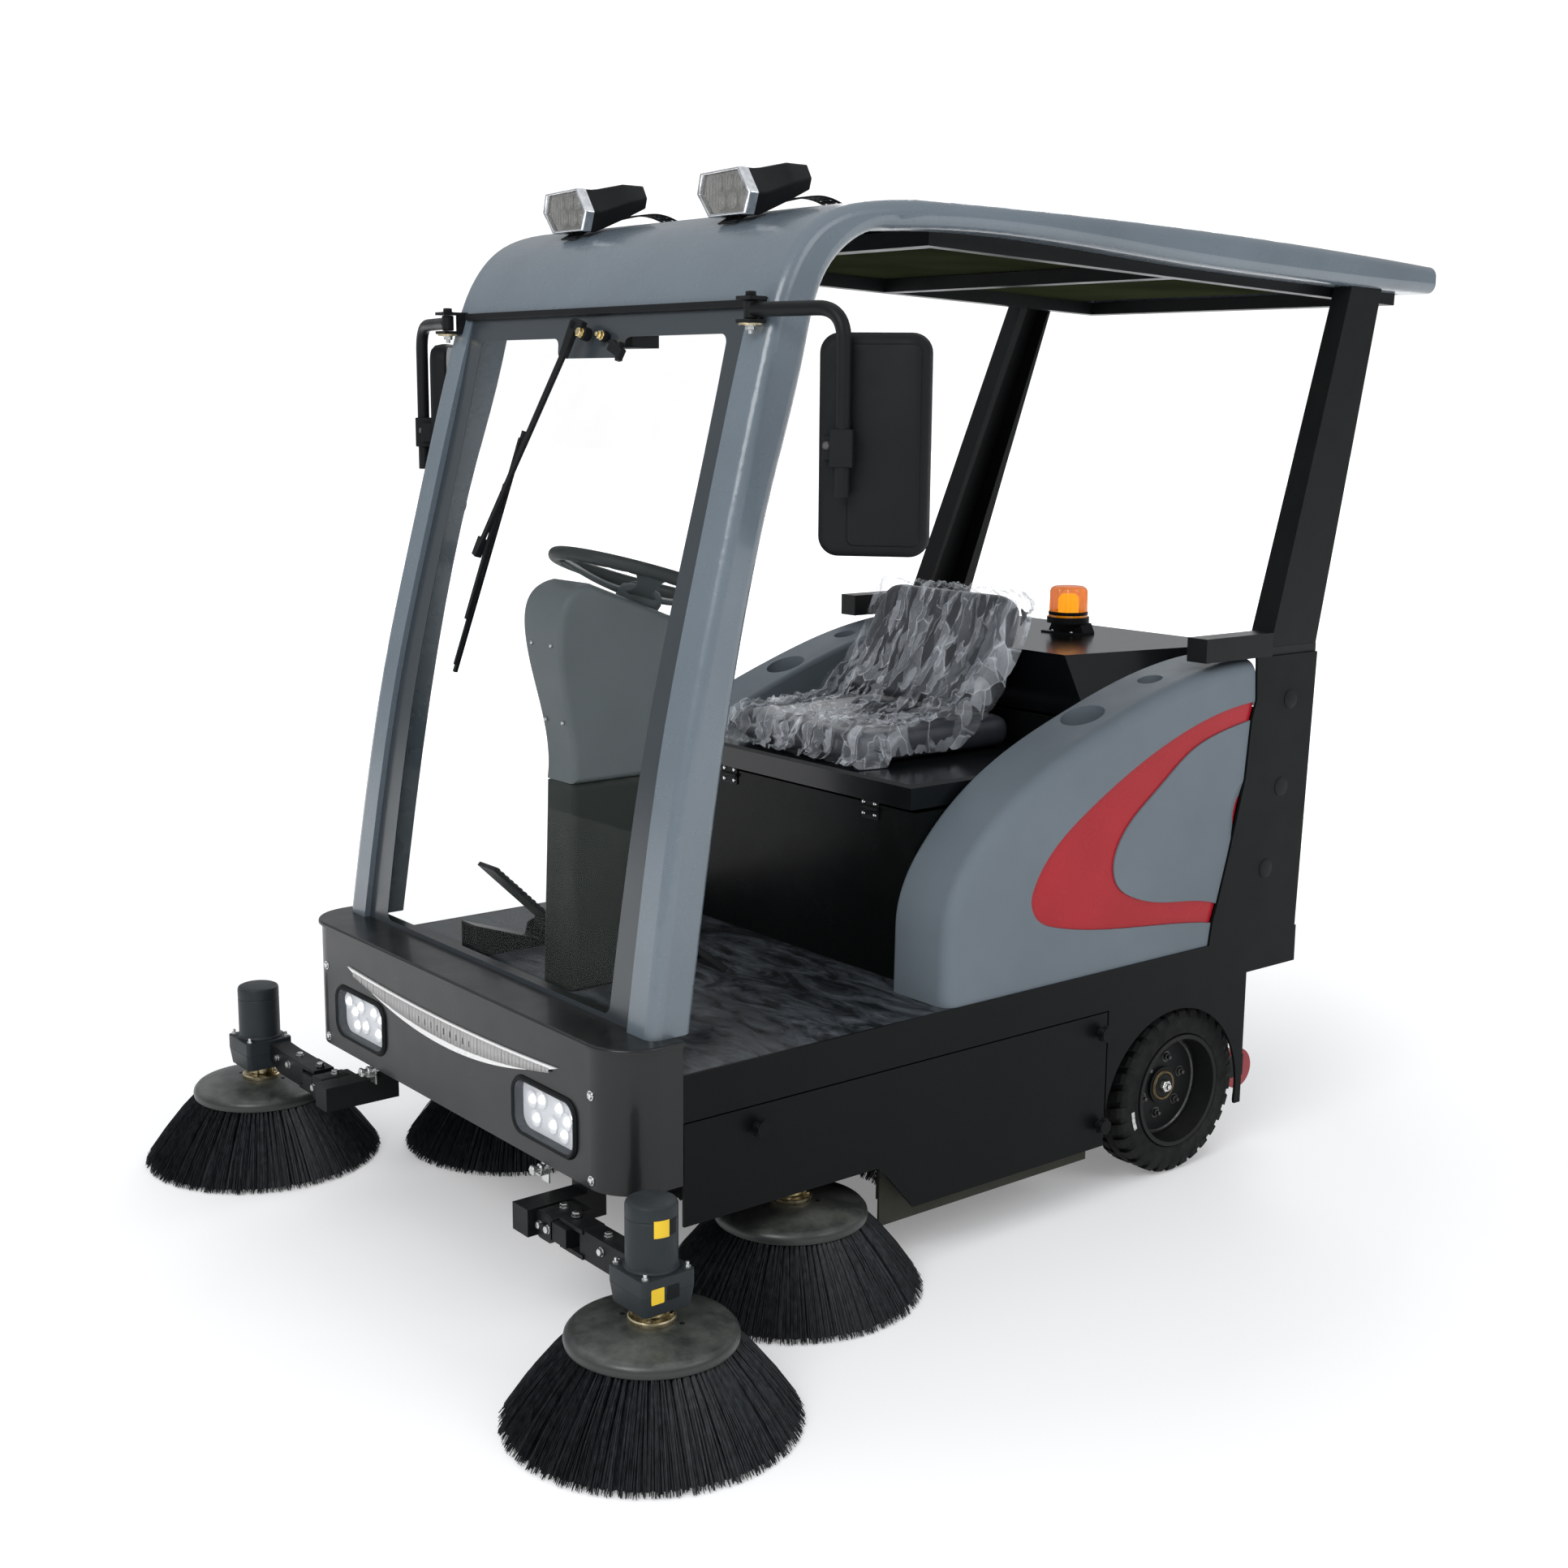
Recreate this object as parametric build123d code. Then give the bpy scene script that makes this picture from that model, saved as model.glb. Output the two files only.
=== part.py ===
from build123d import *
import math
import os

# Ride-on sweeper. Millimetres. +Z is up, -Y is the front, +X is the machine's left-hand side.
# The origin is the middle of the overall box, on the floor.

# --- driving dimensions -------------------------------------------------------------------------
HALF_WIDTH = 582          # outer face of the side skirts
SKIN = 6                  # sheet thickness of the body panels
DECK_TOP = 503
BODY_FRONT = -838         # where the bumper ends and the side panels start
BODY_REAR = 835
BUMPER_FRONT = -972
BUMPER_TOP = 567
BUMPER_BOTTOM = 305
RAIL_IN, RAIL_OUT = 392, 447
RAIL_BOTTOM = 428
FLOOR_GAP = 2             # bristle tips run this far above the contact plane of the tyres

TYRE_R, TYRE_WIDTH, RIM_R = 184, 100, 123
REAR_WHEEL_Y, REAR_WHEEL_X = 491, 508
FRONT_WHEEL_Y = -440
RUN_FIT = 0.05            # radial clearance of every running fit

BRUSH_R, DISC_R = 252.5, 142
FRONT_BRUSH_X, FRONT_BRUSH_Y = 745, -1018
MID_BRUSH_X, MID_BRUSH_Y = 490, -525
DISC_TOP = 180
GEARBOX_BOTTOM, GEARBOX_TOP, MOTOR_TOP = 205, 268, 383
ROLLER_Y, ROLLER_R = -40, 148
ARM_Z0, ARM_Z1 = 208, 258
LIFT_X, LIFT_Z, LIFT_LUG = 440, 233, -950      # level pin that raises a front brush
SWING_X, SWING_Y = 492, -998                   # upright pin that folds its arm forward

PILLAR_OUT_LOW, PILLAR_OUT_HIGH = 560, 536
PILLAR_IN_LOW, PILLAR_IN_HIGH = 487, 463
CANOPY_TOP = 1990
ROOF_REAR = 1270.5
ROOF_SHEET = 8

FENDER_IN = 420
FENDER_WALL = 14
CUP_R, CUP_Y, CUP_X = 45, 229, 482
SOCKET_R, SOCKET_Y, SOCKET_X = 26, 420, 490

WHEEL_TILT = 18           # steering wheel tilt, front higher
STEER_Y, STEER_Z, STEER_R, GRIP_R = -513, 1293, 178, 14

os.makedirs("parts", exist_ok=True)


# --- helpers ------------------------------------------------------------------------------------
def save(name, *solids):
    """Write the solids of one named piece to its own STEP file."""
    group = Compound(children=[s for shape in solids for s in shape.solids()])
    export_step(group, f"parts/{name}.step")


def block(x0, x1, y0, y1, z0, z1):
    """A box given by its two corners."""
    box = Box(x1 - x0, y1 - y0, z1 - z0)
    return Pos((x0 + x1) / 2, (y0 + y1) / 2, (z0 + z1) / 2) * box


def rod(start, direction, radius, length):
    """A cylinder that starts at a point and runs along a direction."""
    plane = Plane(origin=start, z_dir=direction)
    return plane * Cylinder(radius, length, align=(Align.CENTER, Align.CENTER, Align.MIN))


def mirrored(shape):
    return mirror(shape, about=Plane.YZ)


def pair(shape):
    """The piece and its mirror image on the other side of the machine."""
    return [shape, mirrored(shape)]


def side_extrude(face, x0, x1):
    """Extrude a face drawn in (y, z) from x0 to x1."""
    return Pos(x0, 0, 0) * extrude(Plane.YZ * face, x1 - x0)


def front_extrude(face, y0, y1):
    """Extrude a face drawn in (x, z) from y0 to y1."""
    plane = Plane(origin=(0, y0, 0), x_dir=(1, 0, 0), z_dir=(0, -1, 0))
    return extrude(plane * face, -(y1 - y0))


def outline(*edges):
    """A face inside a closed run of edges."""
    return make_face(Wire([edge for run in edges for edge in run.edges()]))


def polygon(*points):
    return make_face(Polyline(*points, close=True))


def tapered(low, high, z_low=BUMPER_TOP, z_high=CANOPY_TOP):
    """A tall prism whose half width goes from low at z_low to high at z_high."""
    slope = (high - low) / (z_high - z_low)
    bottom = low + slope * (0 - z_low)
    top = low + slope * (2200 - z_low)
    face = polygon((-bottom, 0), (bottom, 0), (top, 2200), (-top, 2200))
    return front_extrude(face, -1200, 1400)


def frustum(low_points, z_low, high_points, z_high):
    """A solid with flat sides between two polygons at two heights."""
    low = Pos(0, 0, z_low) * polygon(*low_points)
    high = Pos(0, 0, z_high) * polygon(*high_points)
    return loft([low, high], ruled=True)


# --- chassis ------------------------------------------------------------------------------------
def chassis_frame():
    rails = pair(block(RAIL_IN, RAIL_OUT, BODY_FRONT, 820, RAIL_BOTTOM, DECK_TOP - SKIN))
    cross = [block(-RAIL_IN, RAIL_IN, y, y + 45, RAIL_BOTTOM + 12, DECK_TOP - SKIN)
             for y in (BODY_FRONT, 775)]
    steer_plate = block(-RAIL_IN, RAIL_IN, FRONT_WHEEL_Y - 80, FRONT_WHEEL_Y + 80, 470, 497)
    steer_plate -= rod((0, FRONT_WHEEL_Y, 440), (0, 0, 1), 30 + RUN_FIT, 80)
    axle_plate = block(435, RAIL_OUT, REAR_WHEEL_Y - 60, REAR_WHEEL_Y + 60, 120, RAIL_BOTTOM)
    arm_hanger = block(363, 413, -925, -885, ARM_Z1, 470) + block(363, 413, -925, BODY_FRONT, 470, 497)
    arm_block = block(363, 413, -1048, -885, ARM_Z0, ARM_Z1)
    arm_block += block(413, 466, LIFT_LUG - 15, LIFT_LUG, ARM_Z0 + 5, ARM_Z1 - 5)
    arm_block += rod((LIFT_X, LIFT_LUG - 15, LIFT_Z), (0, -1, 0), 8, 72)
    stub_axle = rod((RAIL_OUT, REAR_WHEEL_Y, TYRE_R), (1, 0, 0), 25, 70)
    motor_plate = block(395, 545, MID_BRUSH_Y - 62, MID_BRUSH_Y + 62, GEARBOX_TOP, GEARBOX_TOP + 8)
    motor_plate -= rod((MID_BRUSH_X, MID_BRUSH_Y, 200), (0, 0, 1), 46, 100)
    hanger = block(395, 403, MID_BRUSH_Y - 62, MID_BRUSH_Y + 62, GEARBOX_TOP + 8, RAIL_BOTTOM)
    roller_side = block(384, RAIL_IN, -220, 200, 60, RAIL_BOTTOM)
    roller_side -= rod((370, ROLLER_Y, 150), (1, 0, 0), 15 + RUN_FIT, 40)
    roller_top = block(-384, 384, -220, 200, 420, RAIL_BOTTOM)
    parts = rails + cross + [steer_plate, roller_top]
    for piece in (axle_plate, stub_axle, arm_hanger + arm_block, motor_plate + hanger, roller_side):
        parts += pair(piece)
    return parts


def deck_plate():
    edge = HALF_WIDTH - SKIN
    return [block(-edge, edge, BODY_FRONT, BODY_REAR, DECK_TOP - SKIN, DECK_TOP)]


def skirt(face):
    return pair(side_extrude(face, HALF_WIDTH - SKIN, HALF_WIDTH))


def side_skirts():
    face = outline(
        Polyline((649, 136), (651, 127), (670, 127), (670, 422), (BODY_REAR, 422),
                 (BODY_REAR, DECK_TOP), (BODY_FRONT, DECK_TOP), (BODY_FRONT, 418), (232, 418),
                 (232, 200)),
        ThreePointArc((232, 200), (440, 381), (649, 136)))
    return skirt(face)


def side_panel():
    """The removable door in the side, held by three star knobs."""
    face = outline(
        Polyline((228, 128), (228, 415), (BODY_FRONT + 2, 415), (BODY_FRONT + 2, 228), (-400, 228)),
        ThreePointArc((-400, 228), (-386, 225), (-374, 214)),
        Polyline((-374, 214), (-300, 129), (228, 128)))
    return side_extrude(face, HALF_WIDTH - SKIN, HALF_WIDTH)


def side_knobs():
    """Star knobs with their studs, outside the door."""
    knobs = []
    for y, z in ((-679, 378), (206, 377), (210, 179)):
        knob = rod((HALF_WIDTH, y, z), (1, 0, 0), 8, 12) + rod((HALF_WIDTH + 12, y, z), (1, 0, 0), 15, 12)
        knobs.append(knob)
    return knobs


def dust_flaps():
    return pair(block(536, 541, -350, 222, 88, DECK_TOP - SKIN))


# --- bumper -------------------------------------------------------------------------------------
def bumper_plan(grow):
    half = HALF_WIDTH + grow
    front = BUMPER_FRONT - grow
    corner = 85 + grow
    return outline(
        Line((-half, BODY_FRONT), (half, BODY_FRONT)),
        Line((half, BODY_FRONT), (half, front + corner)),
        RadiusArc((half, front + corner), (half - corner, front), corner),
        Line((half - corner, front), (corner - half, front)),
        RadiusArc((corner - half, front), (-half, front + corner), corner),
        Line((-half, front + corner), (-half, BODY_FRONT)))


HEADLIGHT_X, HEADLIGHT_Z, HEADLIGHT_W, HEADLIGHT_H = 350, 393, 214, 114


def headlight_face(shrink):
    face = Rectangle(HEADLIGHT_W - shrink, HEADLIGHT_H - shrink)
    return Pos(HEADLIGHT_X, HEADLIGHT_Z) * fillet(face.vertices(), 34)


def front_bumper():
    height = BUMPER_TOP - BUMPER_BOTTOM
    shell = Pos(0, 0, BUMPER_BOTTOM) * extrude(bumper_plan(0), height - 8)
    lip = Pos(0, 0, BUMPER_TOP - 8) * extrude(bumper_plan(7), 8)
    lip &= block(-700, 700, -1100, BODY_FRONT, 0, 900)
    lip = fillet(lip.edges().filter_by(Axis.Z, reverse=True).group_by(Axis.Z)[-1].filter_by(
        lambda e: e.center().Y < BODY_FRONT - 1), 5)
    inside = Pos(0, 0, BUMPER_BOTTOM) * extrude(bumper_plan(-SKIN), height - 16)
    shell = shell + lip - inside
    shell -= block(-576, 576, BODY_FRONT - 8, BODY_FRONT + 1, 0, DECK_TOP - SKIN)
    for light in pair(front_extrude(headlight_face(0), BUMPER_FRONT - 20, BUMPER_FRONT + 20)):
        shell -= light
    return [shell]


def headlight_lenses():
    lens = front_extrude(headlight_face(1), BUMPER_FRONT - 7, BUMPER_FRONT + 24)
    front_edges = lens.edges().group_by(Axis.Y)[0]
    return pair(fillet(front_edges, 5))


def bumper_trim():
    face = outline(
        ThreePointArc((-398, 495), (0, 482), (398, 495)),
        ThreePointArc((398, 495), (0, 430), (-398, 495)))
    return [front_extrude(face, BUMPER_FRONT - 4, BUMPER_FRONT)]


# --- canopy -------------------------------------------------------------------------------------
PILLAR_FRONT = [(-893, 540), (-853, 812), (-802, 1087), (-734, 1359), (-624, 1763)]
ROOF_CROWN = [(-624, 1763), (-592, 1850), (-520, 1938), (-410, 1977), (-286, 1989)]
ROOF_LINE = [(-286, 1989), (0, 1989), (500, 1979), (ROOF_REAR, 1943)]
ROOF_UNDER = [(ROOF_REAR, 1884), (913, 1892), (400, 1914), (-160, 1941), (-340, 1934)]
RAIL_BEND = [(-340, 1934), (-430, 1912), (-490, 1860), (-545, 1711)]
PILLAR_REAR = [(-545, 1711), (-613, 1492), (-673, 1272), (-768, 771), (-803, 540)]


def canopy_shell():
    """One moulding: both front pillars, the visor between them and the roof."""
    side = outline(
        Spline(PILLAR_FRONT + ROOF_CROWN[1:]), Spline(ROOF_LINE),
        Line(ROOF_LINE[-1], ROOF_UNDER[0]),
        Spline(ROOF_UNDER), Spline(RAIL_BEND + PILLAR_REAR[1:]),
        Line(PILLAR_REAR[-1], PILLAR_FRONT[0]))
    shell = side_extrude(side, -620, 620) & tapered(PILLAR_OUT_LOW, PILLAR_OUT_HIGH)
    long_edges = [e for e in shell.edges() if abs(e.center().X) > 400 and e.length > 400]
    shell = fillet(long_edges, 22)
    crown = [(y + 0.5 * ROOF_SHEET, z - ROOF_SHEET) for y, z in ROOF_LINE[:3]]
    hollow = outline(
        Polyline((-590, 1806), (-572, 1838), (-510, 1926), (-404, 1967), crown[0], crown[1],
                 crown[2], (ROOF_REAR - 30, 1936), (ROOF_REAR - 30, 1700), (-300, 1500),
                 (-300, 400), (-1000, 400), (-1000, 1806), (-590, 1806)))
    shell -= side_extrude(hollow, -620, 620) & tapered(PILLAR_IN_LOW, PILLAR_IN_HIGH)
    shell -= block(-700, 700, -1000, -700, 400, BUMPER_TOP)
    return [shell]


GLASS_LINE = [(-877, 567), (-841, 812), (-790, 1087), (-722, 1359), (-612, 1800)]


def glass_band(offset, thickness):
    front = [(y + offset, z) for y, z in GLASS_LINE]
    back = [(y + thickness, z) for y, z in reversed(front)]
    face = outline(Spline(front), Line(front[-1], back[0]), Spline(back), Line(back[-1], front[0]))
    return side_extrude(face, -600, 600) & tapered(PILLAR_IN_LOW - 0.5, PILLAR_IN_HIGH - 0.5)


def windshield_border():
    """The dark frame on the face of the glass, with the tab that carries the wiper."""
    view = make_face(Polyline((-412, 576), (-416, 1750), (-126, 1750), (-116, 1712), (96, 1712),
                              (106, 1750), (416, 1750), (412, 576), close=True))
    view = fillet(view.vertices(), 18)
    return [glass_band(0, 1.2) - front_extrude(view, -1000, -500)]


ROOF_SLOPE = -2.3


def roof_frame(box):
    """Place a piece drawn under a level roof below the sloping one."""
    return Pos(0, -160, 1941) * Rot(ROOF_SLOPE, 0, 0) * box


def canopy_subframe():
    bars = [block(-430, 430, y, y + 34, -26, 4) for y in (-40, 640, 1356)]
    sides = pair(block(430, 461, -40, 1390, -26, 4))
    return [roof_frame(bar) for bar in bars + sides]


def roof_liner():
    return [roof_frame(block(-430, 430, y, y + 640, 4.4, 8.4)) for y in (-6, 674)]


def rear_pillars():
    """Leaning posts of folded sheet, open towards the cab, with the block they stand on."""
    foot = [(516, 702), (575, 702), (575, 857), (516, 857)]
    head = [(474, 988), (520, 988), (520, 1096), (474, 1096)]
    post = frustum(foot, 1130, head, 1893)
    channel_foot = [(500, 722), (569, 722), (569, 837), (500, 837)]
    channel_head = [(460, 1004), (514, 1004), (514, 1081), (460, 1081)]
    post -= frustum(channel_foot, 1160, channel_head, 1870)
    post = max((post - canopy).solids(), key=lambda s: s.volume)
    base = block(530, 576, 690, 857, 1112, 1130) + block(530, 582, 486, 701, 1112, 1162)
    return pair(post) + pair(base)


def rear_body():
    """Rear side plates and back wall round the rear compartment, and its front bulkhead."""
    front_edge = [(539, DECK_TOP), (547, 553), (560, 590), (588, 684), (633, 854), (645, 979),
                  (658, 1023), (652, 1112)]
    plate = polygon(*front_edge, (856, 1112), (830, DECK_TOP))
    sides = pair(side_extrude(plate, HALF_WIDTH - SKIN, HALF_WIDTH))
    wall = block(-575.9, 575.9, 824, 830, DECK_TOP, 975)
    bulkhead = block(-419, 419, 350, 356, DECK_TOP, 975)
    ledge = block(359, 419, 356, 824, 969, 975)
    return sides + [wall, bulkhead] + pair(ledge)


# --- fenders ------------------------------------------------------------------------------------
FENDER_TOP = [(-218, 640), (-195, 727), (-152, 790), (-78, 862), (40, 938), (227, 1015),
              (371, 1062), (504, 1093), (650, 1108)]
FENDER_BACK = [(650, 1108), (656, 1023), (643, 979), (631, 854), (586, 684), (558, 590),
               (545, 553), (537, DECK_TOP)]


def fender_face(inset):
    top = [(y + inset * 0.5, z - inset) for y, z in FENDER_TOP[1:-1]]
    start = (FENDER_TOP[0][0] + inset, FENDER_TOP[0][1])
    end = (FENDER_TOP[-1][0] - inset, FENDER_TOP[-1][1] - inset)
    back = [(y - inset, z) for y, z in FENDER_BACK[1:]]
    return outline(
        Line((-220 + inset, DECK_TOP), start),
        Spline([start] + top + [end]),
        Polyline([end] + back),
        Line(back[-1], (-220 + inset, DECK_TOP)))


SWOOSH_OUTER = [(652, 1018), (534, 1002), (384, 957), (150, 842), (10, 714), (0, 678), (17, 643),
                (69, 618), (163, 598), (309, 580), (552, 551)]
SWOOSH_INNER = [(563, 591), (381, 622), (292, 647), (249, 676), (235, 715), (245, 756),
                (365, 867), (462, 933), (563, 965), (652, 980)]


def swoosh():
    """The curved stripe let into the outer face of the fender."""
    return outline(Spline(SWOOSH_OUTER), Line(SWOOSH_OUTER[-1], SWOOSH_INNER[0]),
                   Spline(SWOOSH_INNER), Line(SWOOSH_INNER[-1], SWOOSH_OUTER[0]))


def fender():
    shell = side_extrude(fender_face(0), FENDER_IN, HALF_WIDTH - 4)
    outer = [e for e in shell.edges() if e.center().X > 570 and e.center().Z > 600
             and e.center().Y < 520]
    shell = fillet(outer, 30)
    inner = [e for e in shell.edges() if e.center().X < FENDER_IN + 1 and e.center().Z > 600
             and e.center().Y < 520]
    shell = fillet(inner, 10)
    shell -= side_extrude(fender_face(FENDER_WALL), FENDER_IN + 8, HALF_WIDTH - 4 - FENDER_WALL)
    limit = side_extrude(fender_face(1), FENDER_IN + 1, HALF_WIDTH - 12)
    wells = rod((CUP_X, CUP_Y, 920), (0, 0, 1), CUP_R + 6, 200)
    wells += rod((SOCKET_X, SOCKET_Y, 1000), (0, 0, 1), SOCKET_R + 5, 200)
    shell += wells & limit
    shell -= rod((CUP_X, CUP_Y, 928), (0, 0, 1), CUP_R, 200)
    shell -= rod((SOCKET_X, SOCKET_Y, 1006), (0, 0, 1), SOCKET_R, 200)
    shell -= side_extrude(swoosh(), HALF_WIDTH - 8, HALF_WIDTH + 5)
    scoop = Pos(HALF_WIDTH + 1, 640, 772) * scale(Sphere(1), by=(11, 56, 88))
    return shell - scoop


# --- seat box, lid, hood ------------------------------------------------------------------------
SEAT_BOX_FRONT = -166


def seat_box():
    front = block(-419.5, 419.5, SEAT_BOX_FRONT, SEAT_BOX_FRONT + 5, DECK_TOP, 850)
    shelf = block(-414, 414, 260, 350, 845, 850)
    sides = pair(block(414.5, 419.5, SEAT_BOX_FRONT + 5, 350, DECK_TOP, 850))
    hinges = [block(x - 24, x + 24, SEAT_BOX_FRONT - 3, SEAT_BOX_FRONT, 826, 848) for x in (-175, 288)]
    latch = block(-285, -235, SEAT_BOX_FRONT - 3, SEAT_BOX_FRONT, 778, 796)
    return [front, shelf, latch] + sides + hinges


def seat_lid():
    outer = block(-412, 412, SEAT_BOX_FRONT - 6, 342, 856, 905)
    top_edges = outer.edges().group_by(Axis.Z)[-1]
    outer = chamfer(top_edges, 6)
    return [outer - block(-407, 407, SEAT_BOX_FRONT - 1, 337, 850, 900)]


def battery_pack():
    cells = []
    for column in range(2):
        for row in range(3):
            x0 = -330 + column * 336
            y0 = -140 + row * 160
            cells.append(block(x0, x0 + 324, y0, y0 + 150, DECK_TOP, 735))
    return cells


HOOD_REAR = 860


def rear_hood():
    low = [(-359, 377), (359, 377), (417, 781), (417, HOOD_REAR), (-417, HOOD_REAR), (-417, 781)]
    high = [(-287, 377), (287, 377), (357, 781), (357, HOOD_REAR), (-357, HOOD_REAR), (-357, 781)]
    low_in = [(-353, 382), (353, 382), (411, 781), (411, HOOD_REAR - 5), (-411, HOOD_REAR - 5),
              (-411, 781)]
    high_in = [(-281, 382), (281, 382), (351, 781), (351, HOOD_REAR - 5), (-351, HOOD_REAR - 5),
               (-351, 781)]
    return [frustum(low, 977, high, 1107) - frustum(low_in, 970, high_in, 1102)]


BEACON_Y = 688


def beacon_base():
    return [block(-55, 55, BEACON_Y - 32, BEACON_Y + 32, 1107, 1111),
            frustum([(-55, BEACON_Y - 6), (55, BEACON_Y - 6), (55, BEACON_Y + 32), (-55, BEACON_Y + 32)],
                    1111,
                    [(-44, BEACON_Y - 6), (44, BEACON_Y - 6), (44, BEACON_Y + 32), (-44, BEACON_Y + 32)],
                    1132),
            rod((0, BEACON_Y, 1132), (0, 0, 1), 49, 14)]


def beacon_dome():
    dome = rod((0, BEACON_Y, 1146), (0, 0, 1), 46, 73)
    return [fillet(dome.edges().group_by(Axis.Z)[-1], 10)]


def seat_cushion():
    pan = block(-225, 225, -128, 300, 905, 985)
    return [fillet(pan.edges(), 30)]


def seat_back():
    rest = Pos(0, 268, 1105) * Rot(-25, 0, 0) * Box(430, 80, 270)
    return [fillet(rest.edges(), 28) - block(-300, 300, 0, 500, 700, 986)]


# --- steering -----------------------------------------------------------------------------------
STEER_AXIS = (0, math.sin(math.radians(WHEEL_TILT)), math.cos(math.radians(WHEEL_TILT)))
STEER_PLANE = Plane(origin=(0, STEER_Y, STEER_Z), x_dir=(1, 0, 0), z_dir=STEER_AXIS)


def column_half():
    """Outline of the column from the front: a waist that widens towards the top."""
    right = [(57, 480), (53, 760), (51, 960), (55, 1080), (67, 1200), (71, 1330)]
    left = [(-x, z) for x, z in reversed(right)]
    return outline(Spline(right), Line(right[-1], left[0]), Spline(left), Line(left[-1], right[0]))


def column_cover():
    side = outline(
        Line((-500, 912), (-713, 912)),
        Spline([(-713, 912), (-722, 1040), (-748, 1180), (-738, 1262), (-680, 1296)]),
        Line((-680, 1296), (-471, 1216)),
        Spline([(-471, 1216), (-474, 1110), (-500, 912)]))
    body = side_extrude(side, -80, 80) & front_extrude(column_half(), -800, -400)
    body = fillet([e for e in body.edges() if e.length > 200 and abs(e.center().X) > 30], 12)
    return [body - STEER_PLANE * Cylinder(20, 900)]


def column_base():
    side = polygon((-500, 910), (-712, 910), (-722, 503), (-480, 503))
    body = side_extrude(side, -80, 80) & front_extrude(column_half(), -800, -400)
    uprights = [e for e in body.edges() if e.length > 200]
    body = fillet(uprights, 12)
    return [body - STEER_PLANE * Cylinder(20, 900)]


def steering_wheel():
    rim = STEER_PLANE * Torus(STEER_R, GRIP_R)
    hub = STEER_PLANE * Pos(0, 0, -38) * Cylinder(38, 34)
    shaft = STEER_PLANE * Pos(0, 0, -150) * Cylinder(16, 200)
    wheel = rim + hub + shaft
    for angle in (90, 210, 330):
        arm = Rot(0, 0, angle) * Pos(30, 0, -30) * Rot(0, -12, 0) * Pos(72, 0, 0) * Box(150, 30, 10)
        wheel += STEER_PLANE * arm
    return [wheel]


# --- wheels -------------------------------------------------------------------------------------
def tyre(centre):
    """Solid rubber tyre with rounded shoulders, axis along X."""
    section = Pos((TYRE_R + RIM_R) / 2, 0) * Rectangle(TYRE_R - RIM_R, TYRE_WIDTH)
    section = fillet(section.vertices(), 9)
    ring = revolve(Plane.XZ * section, Axis.Z)
    return Pos(*centre) * Rot(0, 90, 0) * ring


def rim(centre, bore, outward):
    """Rim barrel, dished disc and hub. The dish opens towards outward."""
    half = TYRE_WIDTH / 2
    barrel = Cylinder(RIM_R, TYRE_WIDTH) - Cylinder(RIM_R - 9, TYRE_WIDTH + 2)
    disc = Pos(0, 0, half - 58) * Cylinder(RIM_R - 4, 12)
    hub = Pos(0, 0, half - 62) * Cylinder(40, 34)
    wheel = barrel + disc + hub - Cylinder(bore, TYRE_WIDTH + 40)
    return Pos(*centre) * Rot(0, 90 * outward, 0) * wheel


def front_fork():
    legs = pair(block(62, 74, FRONT_WHEEL_Y - 40, FRONT_WHEEL_Y + 40, 150, 405))
    crown = rod((0, FRONT_WHEEL_Y, 405), (0, 0, 1), 90, 25)
    kingpin = rod((0, FRONT_WHEEL_Y, 430), (0, 0, 1), 30, 66)
    axle = rod((-62, FRONT_WHEEL_Y, TYRE_R), (1, 0, 0), 25, 124)
    return [crown + kingpin + legs[0] + legs[1] + axle]


# --- brushes ------------------------------------------------------------------------------------
def side_brush(x, y):
    """Moulded disc with its hub and the skirt of bristles, spinning about a vertical axis."""
    disc = [(0, 168), (DISC_R - 30, 168), (DISC_R - 6, 160), (DISC_R, 148), (DISC_R + 4, 120),
            (BRUSH_R, FLOOR_GAP), (BRUSH_R - 66, FLOOR_GAP), (DISC_R - 40, 120), (30, 130), (0, 130)]
    body = revolve(Plane.XZ * polygon(*disc), Axis.Z)
    hub = rod((0, 0, 168), (0, 0, 1), 40, 12) + rod((0, 0, 180), (0, 0, 1), 24, 24.5)
    return Pos(x, y, 0) * (body + hub)


def gear_motor(x, y):
    """Square gearbox with an upright round motor on it."""
    box = block(x - 52, x + 52, y - 52, y + 52, GEARBOX_BOTTOM, GEARBOX_TOP)
    box = fillet(box.edges().filter_by(Axis.Z), 8)
    can = rod((x, y, GEARBOX_TOP), (0, 0, 1), 44, MOTOR_TOP - GEARBOX_TOP)
    return box + fillet(can.edges().group_by(Axis.Z)[-1], 5)


def lift_arm():
    """Sleeve that turns on the level pin to raise the brush, with a lug for the upright pin."""
    sleeve = rod((LIFT_X, LIFT_LUG - 16, LIFT_Z), (0, -1, 0), 26, 66)
    lug = block(LIFT_X, SWING_X + 18, LIFT_LUG - 80, LIFT_LUG - 18, LIFT_Z - 17, LIFT_Z + 17)
    lug = fillet(lug.edges().filter_by(Axis.Z).group_by(Axis.X)[-1], 16)
    body = sleeve + lug - rod((LIFT_X, -900, LIFT_Z), (0, -1, 0), 8 + RUN_FIT, 200)
    return body - rod((SWING_X, SWING_Y, 100), (0, 0, 1), 8 + RUN_FIT, 300)


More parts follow.
